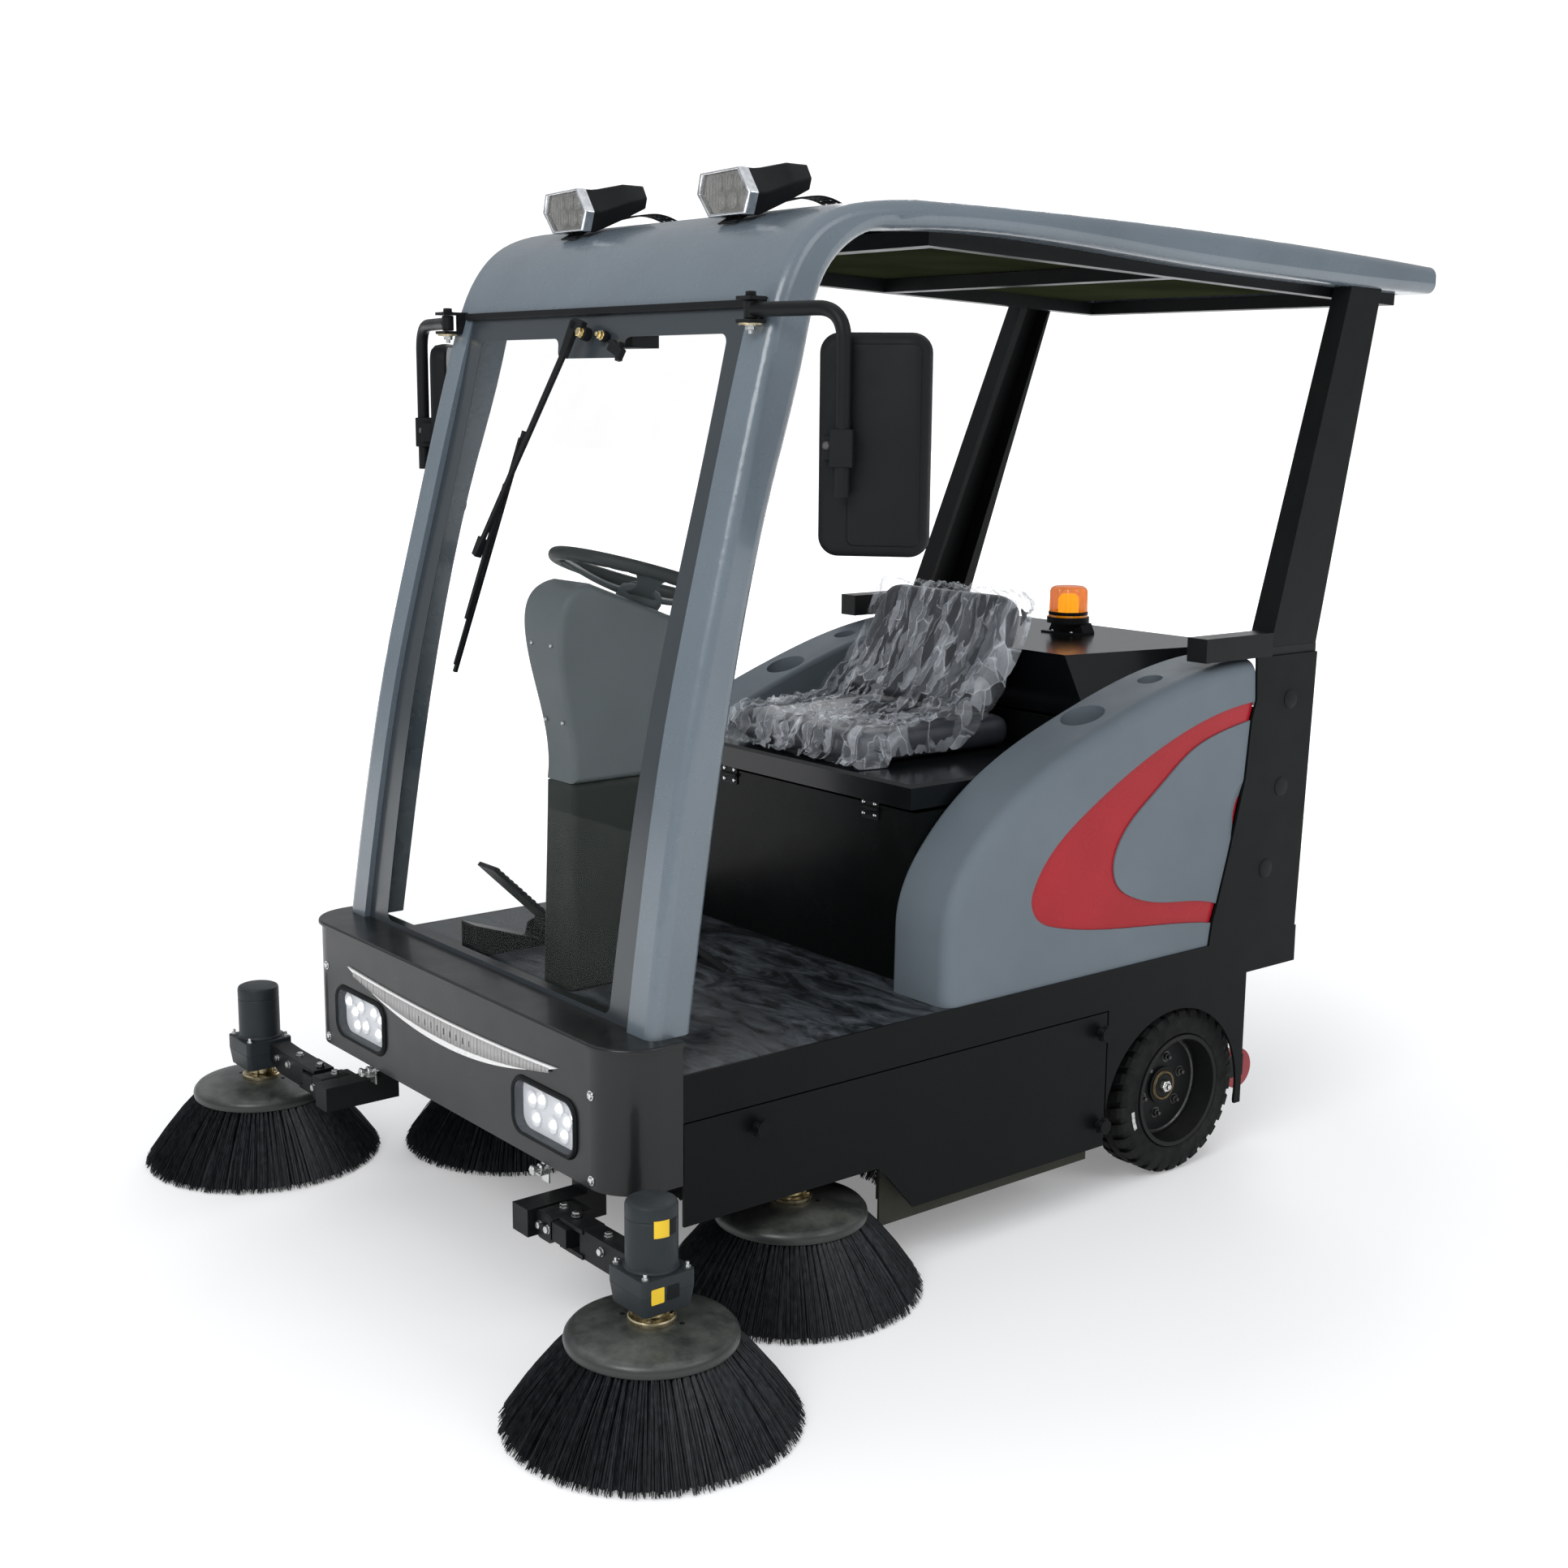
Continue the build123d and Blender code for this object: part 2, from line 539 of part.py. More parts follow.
def swing_arm():
    """Fork on the upright pin and the outboard tube that carries the gear motor."""
    reach = FRONT_BRUSH_X - 52.5
    fork = block(SWING_X - 18, reach, SWING_Y - 26, SWING_Y + 24, LIFT_Z - 27, LIFT_Z + 27)
    fork = fillet(fork.edges().filter_by(Axis.Z), 10)
    slot = block(SWING_X - 40, SWING_X + 52, SWING_Y - 60, SWING_Y + 60, LIFT_Z - 18, LIFT_Z + 18)
    pin = rod((SWING_X, SWING_Y, LIFT_Z - 27), (0, 0, 1), 8, 62)
    return fork - slot + pin


def roller_brush():
    shaft = rod((-391, ROLLER_Y, 150), (1, 0, 0), 15, 782)
    brush = rod((-378, ROLLER_Y, 150), (1, 0, 0), ROLLER_R, 756)
    return [brush + shaft]


# --- dust bin -----------------------------------------------------------------------------------
BIN_REAR = 730


def dust_bin():
    tub = block(-425, 425, 225, BIN_REAR, 100, 415) - block(-421, 421, 200, BIN_REAR - 4, 104, 411)
    plate = block(-490, 490, BIN_REAR, BIN_REAR + 6, 112, 412)
    forks = []
    for side in (-1, 1):
        for x in (452, 482):
            forks.append(block(side * x - 2, side * x + 2, BIN_REAR + 6, 800, 135, 185))
    return [tub, plate] + forks


def caster_wheel(side):
    wheel = rod((side * 467 - 12, 790, 150), (1, 0, 0), 46, 24)
    return fillet(wheel.edges(), 4)


# --- cab fittings -------------------------------------------------------------------------------
MIRROR_PIN = (512, -647, 1787)


def mirror_bracket():
    """Clevis on the pillar with an upright pin."""
    x, y, z = MIRROR_PIN
    ears = block(494, 532, y - 18, y + 18, z - 22, z - 16) + block(494, 532, y - 18, y + 18, z + 16, z + 22)
    back = block(494, 510, y + 18, y + 40, z - 22, z + 22)
    bracket = ears + back
    bracket -= canopy
    return max(bracket.solids(), key=lambda s: s.volume)


def mirror_arm():
    """Bent tube with its pivot barrel, the clamp and the mirror head."""
    x, y, z = MIRROR_PIN
    barrel = rod((x, y, z - 15.5), (0, 0, 1), 12, 31)
    tube_x, tube_y = 704, -604
    corner = (tube_x, tube_y, z)
    path = FilletPolyline((x + 6, y, z), corner, (tube_x, tube_y, 1483), radius=55)
    along = Vector(*corner) - Vector(x + 6, y, z)
    tube = sweep(Plane(origin=(x + 6, y, z), z_dir=along) * Circle(13), path)
    head = Box(186, 44, 366)
    head = fillet(head.edges().filter_by(Axis.Y), 32)
    head = fillet(head.edges().group_by(Axis.Y)[0], 10)
    head = Pos(712, -543, 1566) * Rot(0, 0, 42) * head
    clamp = Pos(tube_x, tube_y, 1562) * Rot(0, 0, 42) * Pos(0, 8, 0) * Box(38, 46, 64)
    return tube + barrel + clamp + head


LAMP_X, LAMP_Y, LAMP_Z = 263, -497, 2004
STRAP = [(-512, 1947), (-470, 1967), (-400, 1990), (-330, 2004), (-290, 2003), (-250, 1991)]


def lamp_bracket():
    """Strap arched over the roof under the lamp, with the lamp's pivot post."""
    top = [(y, z + 4) for y, z in reversed(STRAP)]
    ribbon = outline(Spline(STRAP), Line(STRAP[-1], top[0]), Spline(top), Line(top[-1], STRAP[0]))
    strap = side_extrude(ribbon, LAMP_X - 26, LAMP_X + 26)
    strap += block(LAMP_X - 12, LAMP_X + 12, LAMP_Y + 50, LAMP_Y + 66, 1978, 2000)
    strap = strap - canopy - roof_lamp()
    return max(strap.solids(), key=lambda s: s.volume)


def roof_lamp():
    """Faceted lens ring in front of a tapering housing."""
    hexagon = [(-80, 0), (-70, 36), (48, 40), (80, -6), (66, -43), (-45, -43)]
    ring = polygon(*hexagon)
    tail = Pos(0, 37) * polygon(*[(x * 0.45, z * 0.54) for x, z in hexagon])
    front = Plane(origin=(LAMP_X, LAMP_Y - 24, LAMP_Z), x_dir=(1, 0, 0), z_dir=(0, -1, 0))
    mid = Plane(origin=(LAMP_X, LAMP_Y + 6, LAMP_Z), x_dir=(1, 0, 0), z_dir=(0, -1, 0))
    back = Plane(origin=(LAMP_X, LAMP_Y + 157, LAMP_Z), x_dir=(1, 0, 0), z_dir=(0, -1, 0))
    return extrude(front * ring, -30) + loft([mid * ring, back * tail], ruled=True)


WIPER_PIVOT = (-6, -626, 1753)
WIPER_AXIS = (0, -0.970, 0.243)


def wiper_motor():
    """Motor behind the glass, its shaft boss through the glass."""
    x, y, z = WIPER_PIVOT
    return [Pos(x + 30, y + 62, z + 6) * Box(120, 60, 56)]


def wiper_arm():
    x, y, z = WIPER_PIVOT
    plane = Plane(origin=WIPER_PIVOT, x_dir=(1, 0, 0), z_dir=WIPER_AXIS)
    head = plane * Pos(0, 0, 14) * Cylinder(14, 20)
    arm = plane * Pos(0, 0, 22) * polygon((-10, 14), (12, 8), (-205, -424), (-219, -420))
    arm = extrude(arm, 7)
    blade = plane * Pos(0, 0, 12) * polygon((-158, -186), (-148, -188), (-230, -672), (-240, -671))
    blade = extrude(blade, 10)
    saddle = plane * Pos(-206, -412, 21) * Box(24, 40, 12)
    return [head + arm + saddle + blade]


ACCELERATOR_HEEL = (-300, -570, 541)
TREADLE_TILT = -43.6


def pedal_bases():
    """Sloping stand under the accelerator and the brake's foot plate, with their hinge ears."""
    cheek = polygon((-588, DECK_TOP), (-588, 511), (-748, 566), (-748, DECK_TOP))
    cheeks = [side_extrude(cheek, x, x + 5) for x in (-330, -275)]
    slope = polygon((-588, 511), (-588, 516), (-748, 571), (-748, 566))
    stand = side_extrude(slope, -330, -270) + cheeks[0] + cheeks[1]
    ear = polygon((-600, DECK_TOP), (-590, 543), (-575, 549), (-562, 541), (-552, DECK_TOP))
    ears = [side_extrude(ear, x, x + 5) for x in (-330, -275)]
    brake = block(270, 330, -712, -640, DECK_TOP, DECK_TOP + 8)
    brake_ears = [block(x, x + 6, -700, -670, DECK_TOP + 8, DECK_TOP + 40) for x in (276, 318)]
    return [stand + ears[0] + ears[1], brake] + brake_ears


def accelerator_pedal():
    """Treadle hinged at its heel."""
    heel = Pos(*ACCELERATOR_HEEL) * Rot(TREADLE_TILT, 0, 0)
    plate = heel * Pos(0, -96, 13) * Box(66, 200, 9) + heel * Pos(0, -4, 8) * Box(40, 20, 14)
    barrel = rod((-324, *ACCELERATOR_HEEL[1:]), (1, 0, 0), 8, 48)
    return [plate + barrel]


def brake_pedal():
    """Curved lever from the deck up to a pad."""
    barrel = rod((283, -685, DECK_TOP + 26), (1, 0, 0), 10, 34)
    lever = block(292, 308, -700, -672, DECK_TOP + 26, DECK_TOP + 96)
    reach = Pos(300, -646, DECK_TOP + 104) * Rot(14, 0, 0) * Box(16, 108, 18)
    pad = Pos(300, -596, DECK_TOP + 108) * Rot(-38, 0, 0) * Box(78, 84, 10)
    return [barrel + lever + reach + pad]


# --- build --------------------------------------------------------------------------------------
canopy = canopy_shell()[0]

save("chassis_frame", *chassis_frame())
save("deck_plate", *deck_plate())
save("side_skirts", *side_skirts())
save("dust_flaps", *dust_flaps())
save("front_bumper", *front_bumper())
save("headlight_lenses", *headlight_lenses())
save("bumper_trim", *bumper_trim())
save("canopy_shell", canopy)
save("windshield_glass", glass_band(1.2, 5))
save("windshield_border", *windshield_border())
save("canopy_subframe", *canopy_subframe())
save("roof_liner", *roof_liner())
save("rear_pillars", *rear_pillars())
save("rear_body", *rear_body())
save("fenders", *pair(fender()))
save("seat_box", *seat_box())
save("seat_lid", *seat_lid())
save("battery_pack", *battery_pack())
save("rear_hood", *rear_hood())
save("beacon_base", *beacon_base())
save("beacon_dome", *beacon_dome())
save("seat_cushion", *seat_cushion())
save("seat_back", *seat_back())
save("column_cover", *column_cover())
save("column_base", *column_base())
save("steering_wheel", *steering_wheel())
save("mid_gear_motors", *pair(gear_motor(MID_BRUSH_X, MID_BRUSH_Y)))
save("front_fork", *front_fork())
save("front_tyre", tyre((0, FRONT_WHEEL_Y, TYRE_R)))
save("front_rim", rim((0, FRONT_WHEEL_Y, TYRE_R), 25 + RUN_FIT, 1))
save("roller_brush", *roller_brush())
save("dust_bin", *dust_bin())
save("mirror_brackets", *pair(mirror_bracket()))
save("lamp_brackets", *pair(lamp_bracket()))
save("roof_lamps", *pair(roof_lamp()))
save("wiper_motor", *wiper_motor())
save("wiper_arm", *wiper_arm())
save("pedal_bases", *pedal_bases())
save("accelerator_pedal", *accelerator_pedal())
save("brake_pedal", *brake_pedal())

for side, label in ((1, "left"), (-1, "right")):
    def handed(shape):
        """The left-hand piece as drawn, or its mirror image for the right."""
        return shape if side > 0 else mirrored(shape)

    wheel_centre = (side * REAR_WHEEL_X, REAR_WHEEL_Y, TYRE_R)
    save(f"rear_tyre_{label}", tyre(wheel_centre))
    save(f"rear_rim_{label}", rim(wheel_centre, 25 + RUN_FIT, side))
    save(f"lift_arm_{label}", handed(lift_arm()))
    save(f"swing_arm_{label}", handed(swing_arm()))
    save(f"front_gear_motor_{label}", handed(gear_motor(FRONT_BRUSH_X, FRONT_BRUSH_Y)))
    save(f"front_brush_{label}", handed(side_brush(FRONT_BRUSH_X, FRONT_BRUSH_Y)))
    save(f"mid_brush_{label}", handed(side_brush(MID_BRUSH_X, MID_BRUSH_Y)))
    save(f"caster_wheel_{label}", caster_wheel(side))
    save(f"mirror_{label}", handed(mirror_arm()))
    save(f"side_panel_{label}", handed(side_panel()), *[handed(knob) for knob in side_knobs()])
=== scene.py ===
import math
import random

import bmesh
import bpy
from mathutils import Matrix, Vector, noise


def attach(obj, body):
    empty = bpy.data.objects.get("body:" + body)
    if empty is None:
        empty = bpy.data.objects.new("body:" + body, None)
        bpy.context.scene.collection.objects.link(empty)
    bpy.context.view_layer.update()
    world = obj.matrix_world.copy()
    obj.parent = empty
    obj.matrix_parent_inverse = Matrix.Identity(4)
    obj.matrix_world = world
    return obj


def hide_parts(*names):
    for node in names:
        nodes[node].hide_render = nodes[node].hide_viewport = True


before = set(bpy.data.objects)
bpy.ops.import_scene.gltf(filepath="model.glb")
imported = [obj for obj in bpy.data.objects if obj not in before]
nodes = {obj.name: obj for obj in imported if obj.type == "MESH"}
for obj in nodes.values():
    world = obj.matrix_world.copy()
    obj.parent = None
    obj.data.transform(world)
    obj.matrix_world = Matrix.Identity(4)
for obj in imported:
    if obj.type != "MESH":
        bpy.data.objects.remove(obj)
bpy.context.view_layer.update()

SIDES = ((1, "left"), (-1, "right"))
MM = 0.001
UP, DOWN, FRONT = (0, 0, 1), (0, 0, -1), (0, -1, 0)
BOX_FACES = ((0, 1, 3, 2), (4, 6, 7, 5), (0, 4, 5, 1), (2, 3, 7, 6), (0, 2, 6, 4), (1, 5, 7, 3))

# Places and sizes that several pieces share, in millimetres, as the CAD source has them.
HALF_WIDTH = 582
DECK_TOP = 503
BUMPER_FRONT = -972
TYRE_R, TYRE_WIDTH, RIM_R = 184, 100, 123
REAR_WHEEL = (508, 491, 184)
FRONT_WHEEL = (0, -440, 184)
FRONT_BRUSH = (745, -1018)
MID_BRUSH = (490, -525)
STEER_CENTRE = Vector((0, -513, 1293))
STEER_TILT = math.radians(18)
BEACON_Y = 688
RECESS_DEPTH = 8
DISC_R, BRUSH_R = 142, 252.5
TUFTS = 104
BACKREST_CENTRE = Vector((0, 268, 1105))
BACKREST_LEAN = math.radians(25)
CUSHION_CENTRE = Vector((0, 86, 943))
MIRROR_PIVOT = Vector((512, -647, 1787))
MIRROR_CORNER = Vector((704, -604, 1787))
MIRROR_FOOT = Vector((704, -604, 1483))
MIRROR_TURN = math.radians(42)
ROLLER_CENTRE = Vector((0, -40, 150))
HEADLIGHT = (350, 393)
LID_HINGES, LID_LATCH = (-175, 288), -260
LIFT_PIN = (440, 233)
SWING_PIN = (492, -998)

# The viewing position, in metres and degrees, and its lens, in millimetres.
CAMERA_PLACE = Vector((3.24018, -2.74838, 1.64375))
CAMERA_AZIMUTH, CAMERA_ELEVATION, CAMERA_ROLL = 51.1666, 10.6629, 0.51865
CAMERA_LENS, CAMERA_SENSOR = 46.067, 36
CAMERA_SHIFT = (-0.00425, -0.00586)


# --- camera, floor and light ----------------------------------------------------------------------
def make_camera():
    """The viewing position, in front of the machine's left side, at about head height."""
    azimuth, elevation, roll = (math.radians(a)
                                for a in (CAMERA_AZIMUTH, CAMERA_ELEVATION, CAMERA_ROLL))
    back = Vector((math.sin(azimuth) * math.cos(elevation), -math.cos(azimuth) * math.cos(elevation),
                   math.sin(elevation)))
    right = Vector((math.cos(azimuth), math.sin(azimuth), 0))
    up = back.cross(right)
    across = math.cos(roll) * right + math.sin(roll) * up
    rise = math.cos(roll) * up - math.sin(roll) * right
    data = bpy.data.cameras.new("camera")
    data.sensor_width = CAMERA_SENSOR
    data.lens = CAMERA_LENS
    data.shift_x, data.shift_y = CAMERA_SHIFT
    data.clip_end = 100
    camera = bpy.data.objects.new("camera", data)
    bpy.context.collection.objects.link(camera)
    place = Matrix((across, rise, back)).transposed().to_4x4()
    place.translation = CAMERA_PLACE
    camera.matrix_world = place
    bpy.context.scene.camera = camera


def area_light(name, place, aim, size, power):
    """A rectangular lamp turned toward a point, in metres and watts."""
    data = bpy.data.lights.new(name, "AREA")
    data.shape = "RECTANGLE"
    data.size, data.size_y = size
    data.energy = power
    light = bpy.data.objects.new(name, data)
    bpy.context.collection.objects.link(light)
    light.location = place
    light.rotation_euler = (Vector(aim) - Vector(place)).to_track_quat("-Z", "Y").to_euler()


def make_sky():
    """Soft light that is brighter overhead, and plain white where the camera sees it."""
    world = bpy.data.worlds.new("studio")
    bpy.context.scene.world = world
    world.use_nodes = True
    tree = world.node_tree
    link = tree.links.new
    glow = tree.nodes["Background"]
    glow.inputs["Strength"].default_value = 0.72
    coords = tree.nodes.new("ShaderNodeTexCoord")
    turn = tree.nodes.new("ShaderNodeMapping")
    turn.inputs["Rotation"].default_value = (0, math.radians(90), 0)
    fade = tree.nodes.new("ShaderNodeTexGradient")
    ramp = tree.nodes.new("ShaderNodeValToRGB")
    ramp.color_ramp.elements[0].color = (0.42, 0.435, 0.45, 1)
    ramp.color_ramp.elements[1].color = (1.15, 1.18, 1.22, 1)
    white = tree.nodes.new("ShaderNodeBackground")
    white.inputs["Color"].default_value = (1, 1, 1, 1)
    white.inputs["Strength"].default_value = 1.15
    seen = tree.nodes.new("ShaderNodeLightPath")
    both = tree.nodes.new("ShaderNodeMixShader")
    link(coords.outputs["Generated"], turn.inputs["Vector"])
    link(turn.outputs["Vector"], fade.inputs["Vector"])
    link(fade.outputs["Color"], ramp.inputs["Fac"])
    link(ramp.outputs["Color"], glow.inputs["Color"])
    link(seen.outputs["Is Camera Ray"], both.inputs["Fac"])
    link(glow.outputs["Background"], both.inputs[1])
    link(white.outputs["Background"], both.inputs[2])
    link(both.outputs["Shader"], tree.nodes["World Output"].inputs["Surface"])


def make_floor():
    """A pale disc that brightens with distance, so that no horizon shows."""
    bm = bmesh.new()
    bmesh.ops.create_circle(bm, cap_ends=True, segments=96, radius=60)
    mesh = bpy.data.meshes.new("floor")
    bm.to_mesh(mesh)
    bm.free()
    floor = bpy.data.objects.new("floor", mesh)
    bpy.context.collection.objects.link(floor)
    floor.location.z = -0.0005
    pale = Shader("pale_floor")
    pale.set(Base_Color=(0.80, 0.80, 0.80, 1), Roughness=0.95, Specular_IOR_Level=0.1,
             Emission_Color=(1, 1, 1, 1))
    away = pale.tree.nodes.new("ShaderNodeVectorMath")
    away.operation = "LENGTH"
    pale.link(pale.place, away.inputs[0])
    pale.link(pale.span(away.outputs["Value"], 1.2, 6.0, 0.22, 1.0), pale.base.inputs["Emission Strength"])
    mesh.materials.append(pale.material)


def make_stage():
    """A white room with three large soft lamps."""
    bpy.context.scene.view_settings.view_transform = "Standard"
    make_sky()
    make_floor()
    area_light("key", (2.6, -5.2, 4.6), (0, 0, 0.9), (3.5, 2.5), 200)
    area_light("side", (5.5, 1.5, 4.2), (0, 0.2, 0.9), (3.0, 2.5), 55)
    area_light("rear", (-3.5, 4.5, 4.5), (0, 0.3, 1.0), (3.0, 3.0), 90)


# --- materials ------------------------------------------------------------------------------------
class Shader:
    """A Principled material with small helpers for its procedural inputs."""

    def __init__(self, name):
        self.material = bpy.data.materials.new(name)
        self.material.use_nodes = True
        self.tree = self.material.node_tree
        self.base = self.tree.nodes["Principled BSDF"]
        self.place = self.tree.nodes.new("ShaderNodeTexCoord").outputs["Object"]

    def set(self, **values):
        """Set inputs by name, with _ for each space."""
        for key, value in values.items():
            self.base.inputs[key.replace("_", " ")].default_value = value

    def link(self, source, target):
        self.tree.links.new(source, target)

    def stretched(self, stretch, source=None):
        """Coordinates, scaled along each axis where a stretch is given."""
        source = source or self.place
        if not stretch:
            return source
        mapping = self.tree.nodes.new("ShaderNodeMapping")
        mapping.inputs["Scale"].default_value = stretch
        self.link(source, mapping.inputs["Vector"])
        return mapping.outputs["Vector"]

    def noise(self, scale, detail=4.0, rough=0.55, stretch=None, distortion=0.0):
        """Cloudy value from 0 to 1."""
        node = self.tree.nodes.new("ShaderNodeTexNoise")
        node.inputs["Scale"].default_value = scale
        node.inputs["Detail"].default_value = detail
        node.inputs["Roughness"].default_value = rough
        node.inputs["Distortion"].default_value = distortion
        self.link(self.stretched(stretch), node.inputs["Vector"])
        return node.outputs["Fac"]

    def cells(self, scale):
        """Distance in a smooth cell pattern."""
        node = self.tree.nodes.new("ShaderNodeTexVoronoi")
        node.feature = "SMOOTH_F1"
        node.inputs["Scale"].default_value = scale
        self.link(self.place, node.inputs["Vector"])
        return node.outputs["Distance"]

    def ramp(self, value, *stops):
        """A colour ramp through (position, colour) stops."""
        node = self.tree.nodes.new("ShaderNodeValToRGB")
        while len(node.color_ramp.elements) < len(stops):
            node.color_ramp.elements.new(0.5)
        for element, (position, colour) in zip(node.color_ramp.elements, stops):
            element.position = position
            element.color = (*colour, 1)
        self.link(value, node.inputs["Fac"])
        return node.outputs["Color"]

    def span(self, value, low, high, out_low, out_high):
        """Carry the range low to high over to another range."""
        node = self.tree.nodes.new("ShaderNodeMapRange")
        for key, number in zip(("From Min", "From Max", "To Min", "To Max"),
                               (low, high, out_low, out_high)):
            node.inputs[key].default_value = number
        self.link(value, node.inputs["Value"])
        return node.outputs["Result"]

    def mix(self, factor, first, second):
        """Blend two colours, each a socket or three numbers."""
        node = self.tree.nodes.new("ShaderNodeMix")
        node.data_type = "RGBA"
        self.link(factor, node.inputs["Factor"])
        for key, value in (("A", first), ("B", second)):
            socket = [s for s in node.inputs if s.name == key and s.type == "RGBA"][0]
            if isinstance(value, tuple):
                socket.default_value = (*value, 1)
            else:
                self.link(value, socket)
        return [s for s in node.outputs if s.type == "RGBA"][0]

    def part(self, vector, axis):
        """One axis of a vector."""
        split = self.tree.nodes.new("ShaderNodeSeparateXYZ")
        self.link(vector, split.inputs["Vector"])
        return split.outputs[axis]

    def normal(self, axis):
        """One part of the direction that the surface faces."""
        return self.part(self.tree.nodes.new("ShaderNodeNewGeometry").outputs["Normal"], axis)

    def upward(self):
        """How far the surface faces up, where dust settles."""
        return self.span(self.normal("Z"), 0.3, 0.95, 0, 1)

    def calculate(self, kind, *values, clamp=False):
        """A math node over sockets and plain numbers."""
        node = self.tree.nodes.new("ShaderNodeMath")
        node.operation = kind
        node.use_clamp = clamp
        for socket, value in zip(node.inputs, values):
            if isinstance(value, (int, float)):
                socket.default_value = value
            else:
                self.link(value, socket)
        return node.outputs["Value"]

    def times(self, first, second):
        """Product of two values."""
        return self.calculate("MULTIPLY", first, second)

    def bump(self, height, distance, strength=1.0):
        """Add a relief on top of those already there, its distance in metres."""
        node = self.tree.nodes.new("ShaderNodeBump")
        node.inputs["Distance"].default_value = distance
        node.inputs["Strength"].default_value = strength
        self.link(height, node.inputs["Height"])
        if self.base.inputs["Normal"].is_linked:
            self.link(self.base.inputs["Normal"].links[0].from_socket, node.inputs["Normal"])
        self.link(node.outputs["Normal"], self.base.inputs["Normal"])

    def colour(self, socket):
        self.link(socket, self.base.inputs["Base Color"])

    def rough(self, socket):
        self.link(socket, self.base.inputs["Roughness"])


def shade(colour, factor):
    """A lighter or darker tone of a colour."""
    return tuple(min(1.0, c * factor) for c in colour)


def painted(name, colour, rough, grain, grain_depth, dust=None, dust_amount=0.35, coat=0.0, shine=0.5,
            cloud=0.10):
    """Paint or moulded plastic: cloudy tone, orange peel or grain, and settled dust."""
    s = Shader(name)
    s.set(Specular_IOR_Level=shine, Coat_Weight=coat, Coat_Roughness=0.1)
    tone = s.ramp(s.noise(3.1, 5), (0.3, shade(colour, 1 - cloud)), (0.7, shade(colour, 1 + cloud)))
    if dust:
        fall = s.times(s.upward(), s.span(s.noise(9.0, 7, 0.7), 0.42, 0.75, 0, dust_amount))
        tone = s.mix(fall, tone, dust)
    s.colour(tone)
    s.rough(s.span(s.noise(14.0, 5), 0.3, 0.7, rough * 0.86, min(1.0, rough * 1.18)))
    s.bump(s.noise(grain, 2), grain_depth)
    s.bump(s.noise(2.2, 2), 0.0022, 0.35)
    return s.material


def bare_metal(name, colour, rough, pitted=True):
    """Plated or brushed metal with a little tarnish."""
    s = Shader(name)
    s.set(Metallic=1.0)
    s.colour(s.ramp(s.noise(60, 5), (0.3, shade(colour, 0.72)), (0.65, shade(colour, 1.05))))
    s.rough(s.span(s.noise(90, 4), 0.3, 0.7, rough * 0.7, rough * 1.3))
    if pitted:
        s.bump(s.noise(500, 2), 0.00008)
    return s.material


def clear(name, tint, rough, alpha, haze):
    """Thin glass or clear plastic, seen through by alpha, with faint dust."""
    s = Shader(name)
    s.set(Base_Color=(*tint, 1), Roughness=rough, IOR=1.45, Specular_IOR_Level=0.5)
    s.link(s.span(s.noise(7, 6, 0.65), 0.35, 0.8, alpha, alpha + haze), s.base.inputs["Alpha"])
    s.bump(s.noise(2.0, 2), 0.0006, 0.5)
    s.material.surface_render_method = "BLENDED"
    return s.material


def glowing(name, colour, strength, tint):
    """A lit surface: lamp chips and the beacon's light, and on the headlight reflector a faint glow that is
    painted reflection.
    """
    s = Shader(name)
    s.colour(s.ramp(s.noise(200, 2), (0.3, shade(tint, 0.9)), (0.7, tint)))
    s.set(Roughness=0.25, Emission_Strength=strength, Emission_Color=(*colour, 1))
    return s.material


DUST = (0.30, 0.29, 0.26)


def deck_paint():
    """Black steel floor under dried, wiped dust."""
    s = Shader("deck_paint")
    smear = s.noise(5.5, 9, 0.72, stretch=(1.0, 2.3, 1), distortion=1.6)
    fine = s.noise(38, 6, 0.7, stretch=(0.7, 2.2, 1))
    worn = s.times(s.span(smear, 0.42, 0.66, 0, 1), s.span(fine, 0.3, 0.7, 0.35, 1))
    s.colour(s.mix(worn, (0.010, 0.012, 0.014), (0.11, 0.125, 0.14)))
    s.rough(s.span(smear, 0.35, 0.7, 0.26, 0.6))
    s.set(Specular_IOR_Level=0.4)
    s.bump(fine, 0.0003)
    return s.material


def bristle_plastic():
    """Dark plastic hair, streaked along its length."""
    s = Shader("bristle_plastic")
    s.colour(s.ramp(s.noise(120, 3, stretch=(1, 1, 0.15)), (0.3, (0.006, 0.007, 0.008)),
                    (0.72, (0.030, 0.034, 0.038))))
    s.set(Roughness=0.5, Specular_IOR_Level=0.18)
    s.bump(s.noise(900, 1), 0.0001)
    return s.material


def tyre_rubber():
    """Dusty black rubber."""
    s = Shader("tyre_rubber")
    dusty = s.span(s.noise(26, 7, 0.7), 0.4, 0.72, 0, 0.5)
    s.colour(s.mix(dusty, (0.009, 0.010, 0.010), (0.030, 0.031, 0.029)))
    s.rough(s.span(s.noise(40, 4), 0.3, 0.7, 0.62, 0.85))
    s.set(Specular_IOR_Level=0.12)
    s.bump(s.noise(420, 3), 0.0003)
    return s.material


def vinyl():
    """Grained black seat covering."""
    s = Shader("vinyl")
    s.colour(s.ramp(s.noise(6, 4), (0.3, (0.018, 0.020, 0.026)), (0.7, (0.034, 0.038, 0.048))))
    s.set(Roughness=0.46)
    s.bump(s.cells(420), 0.0004, 0.6)
    return s.material


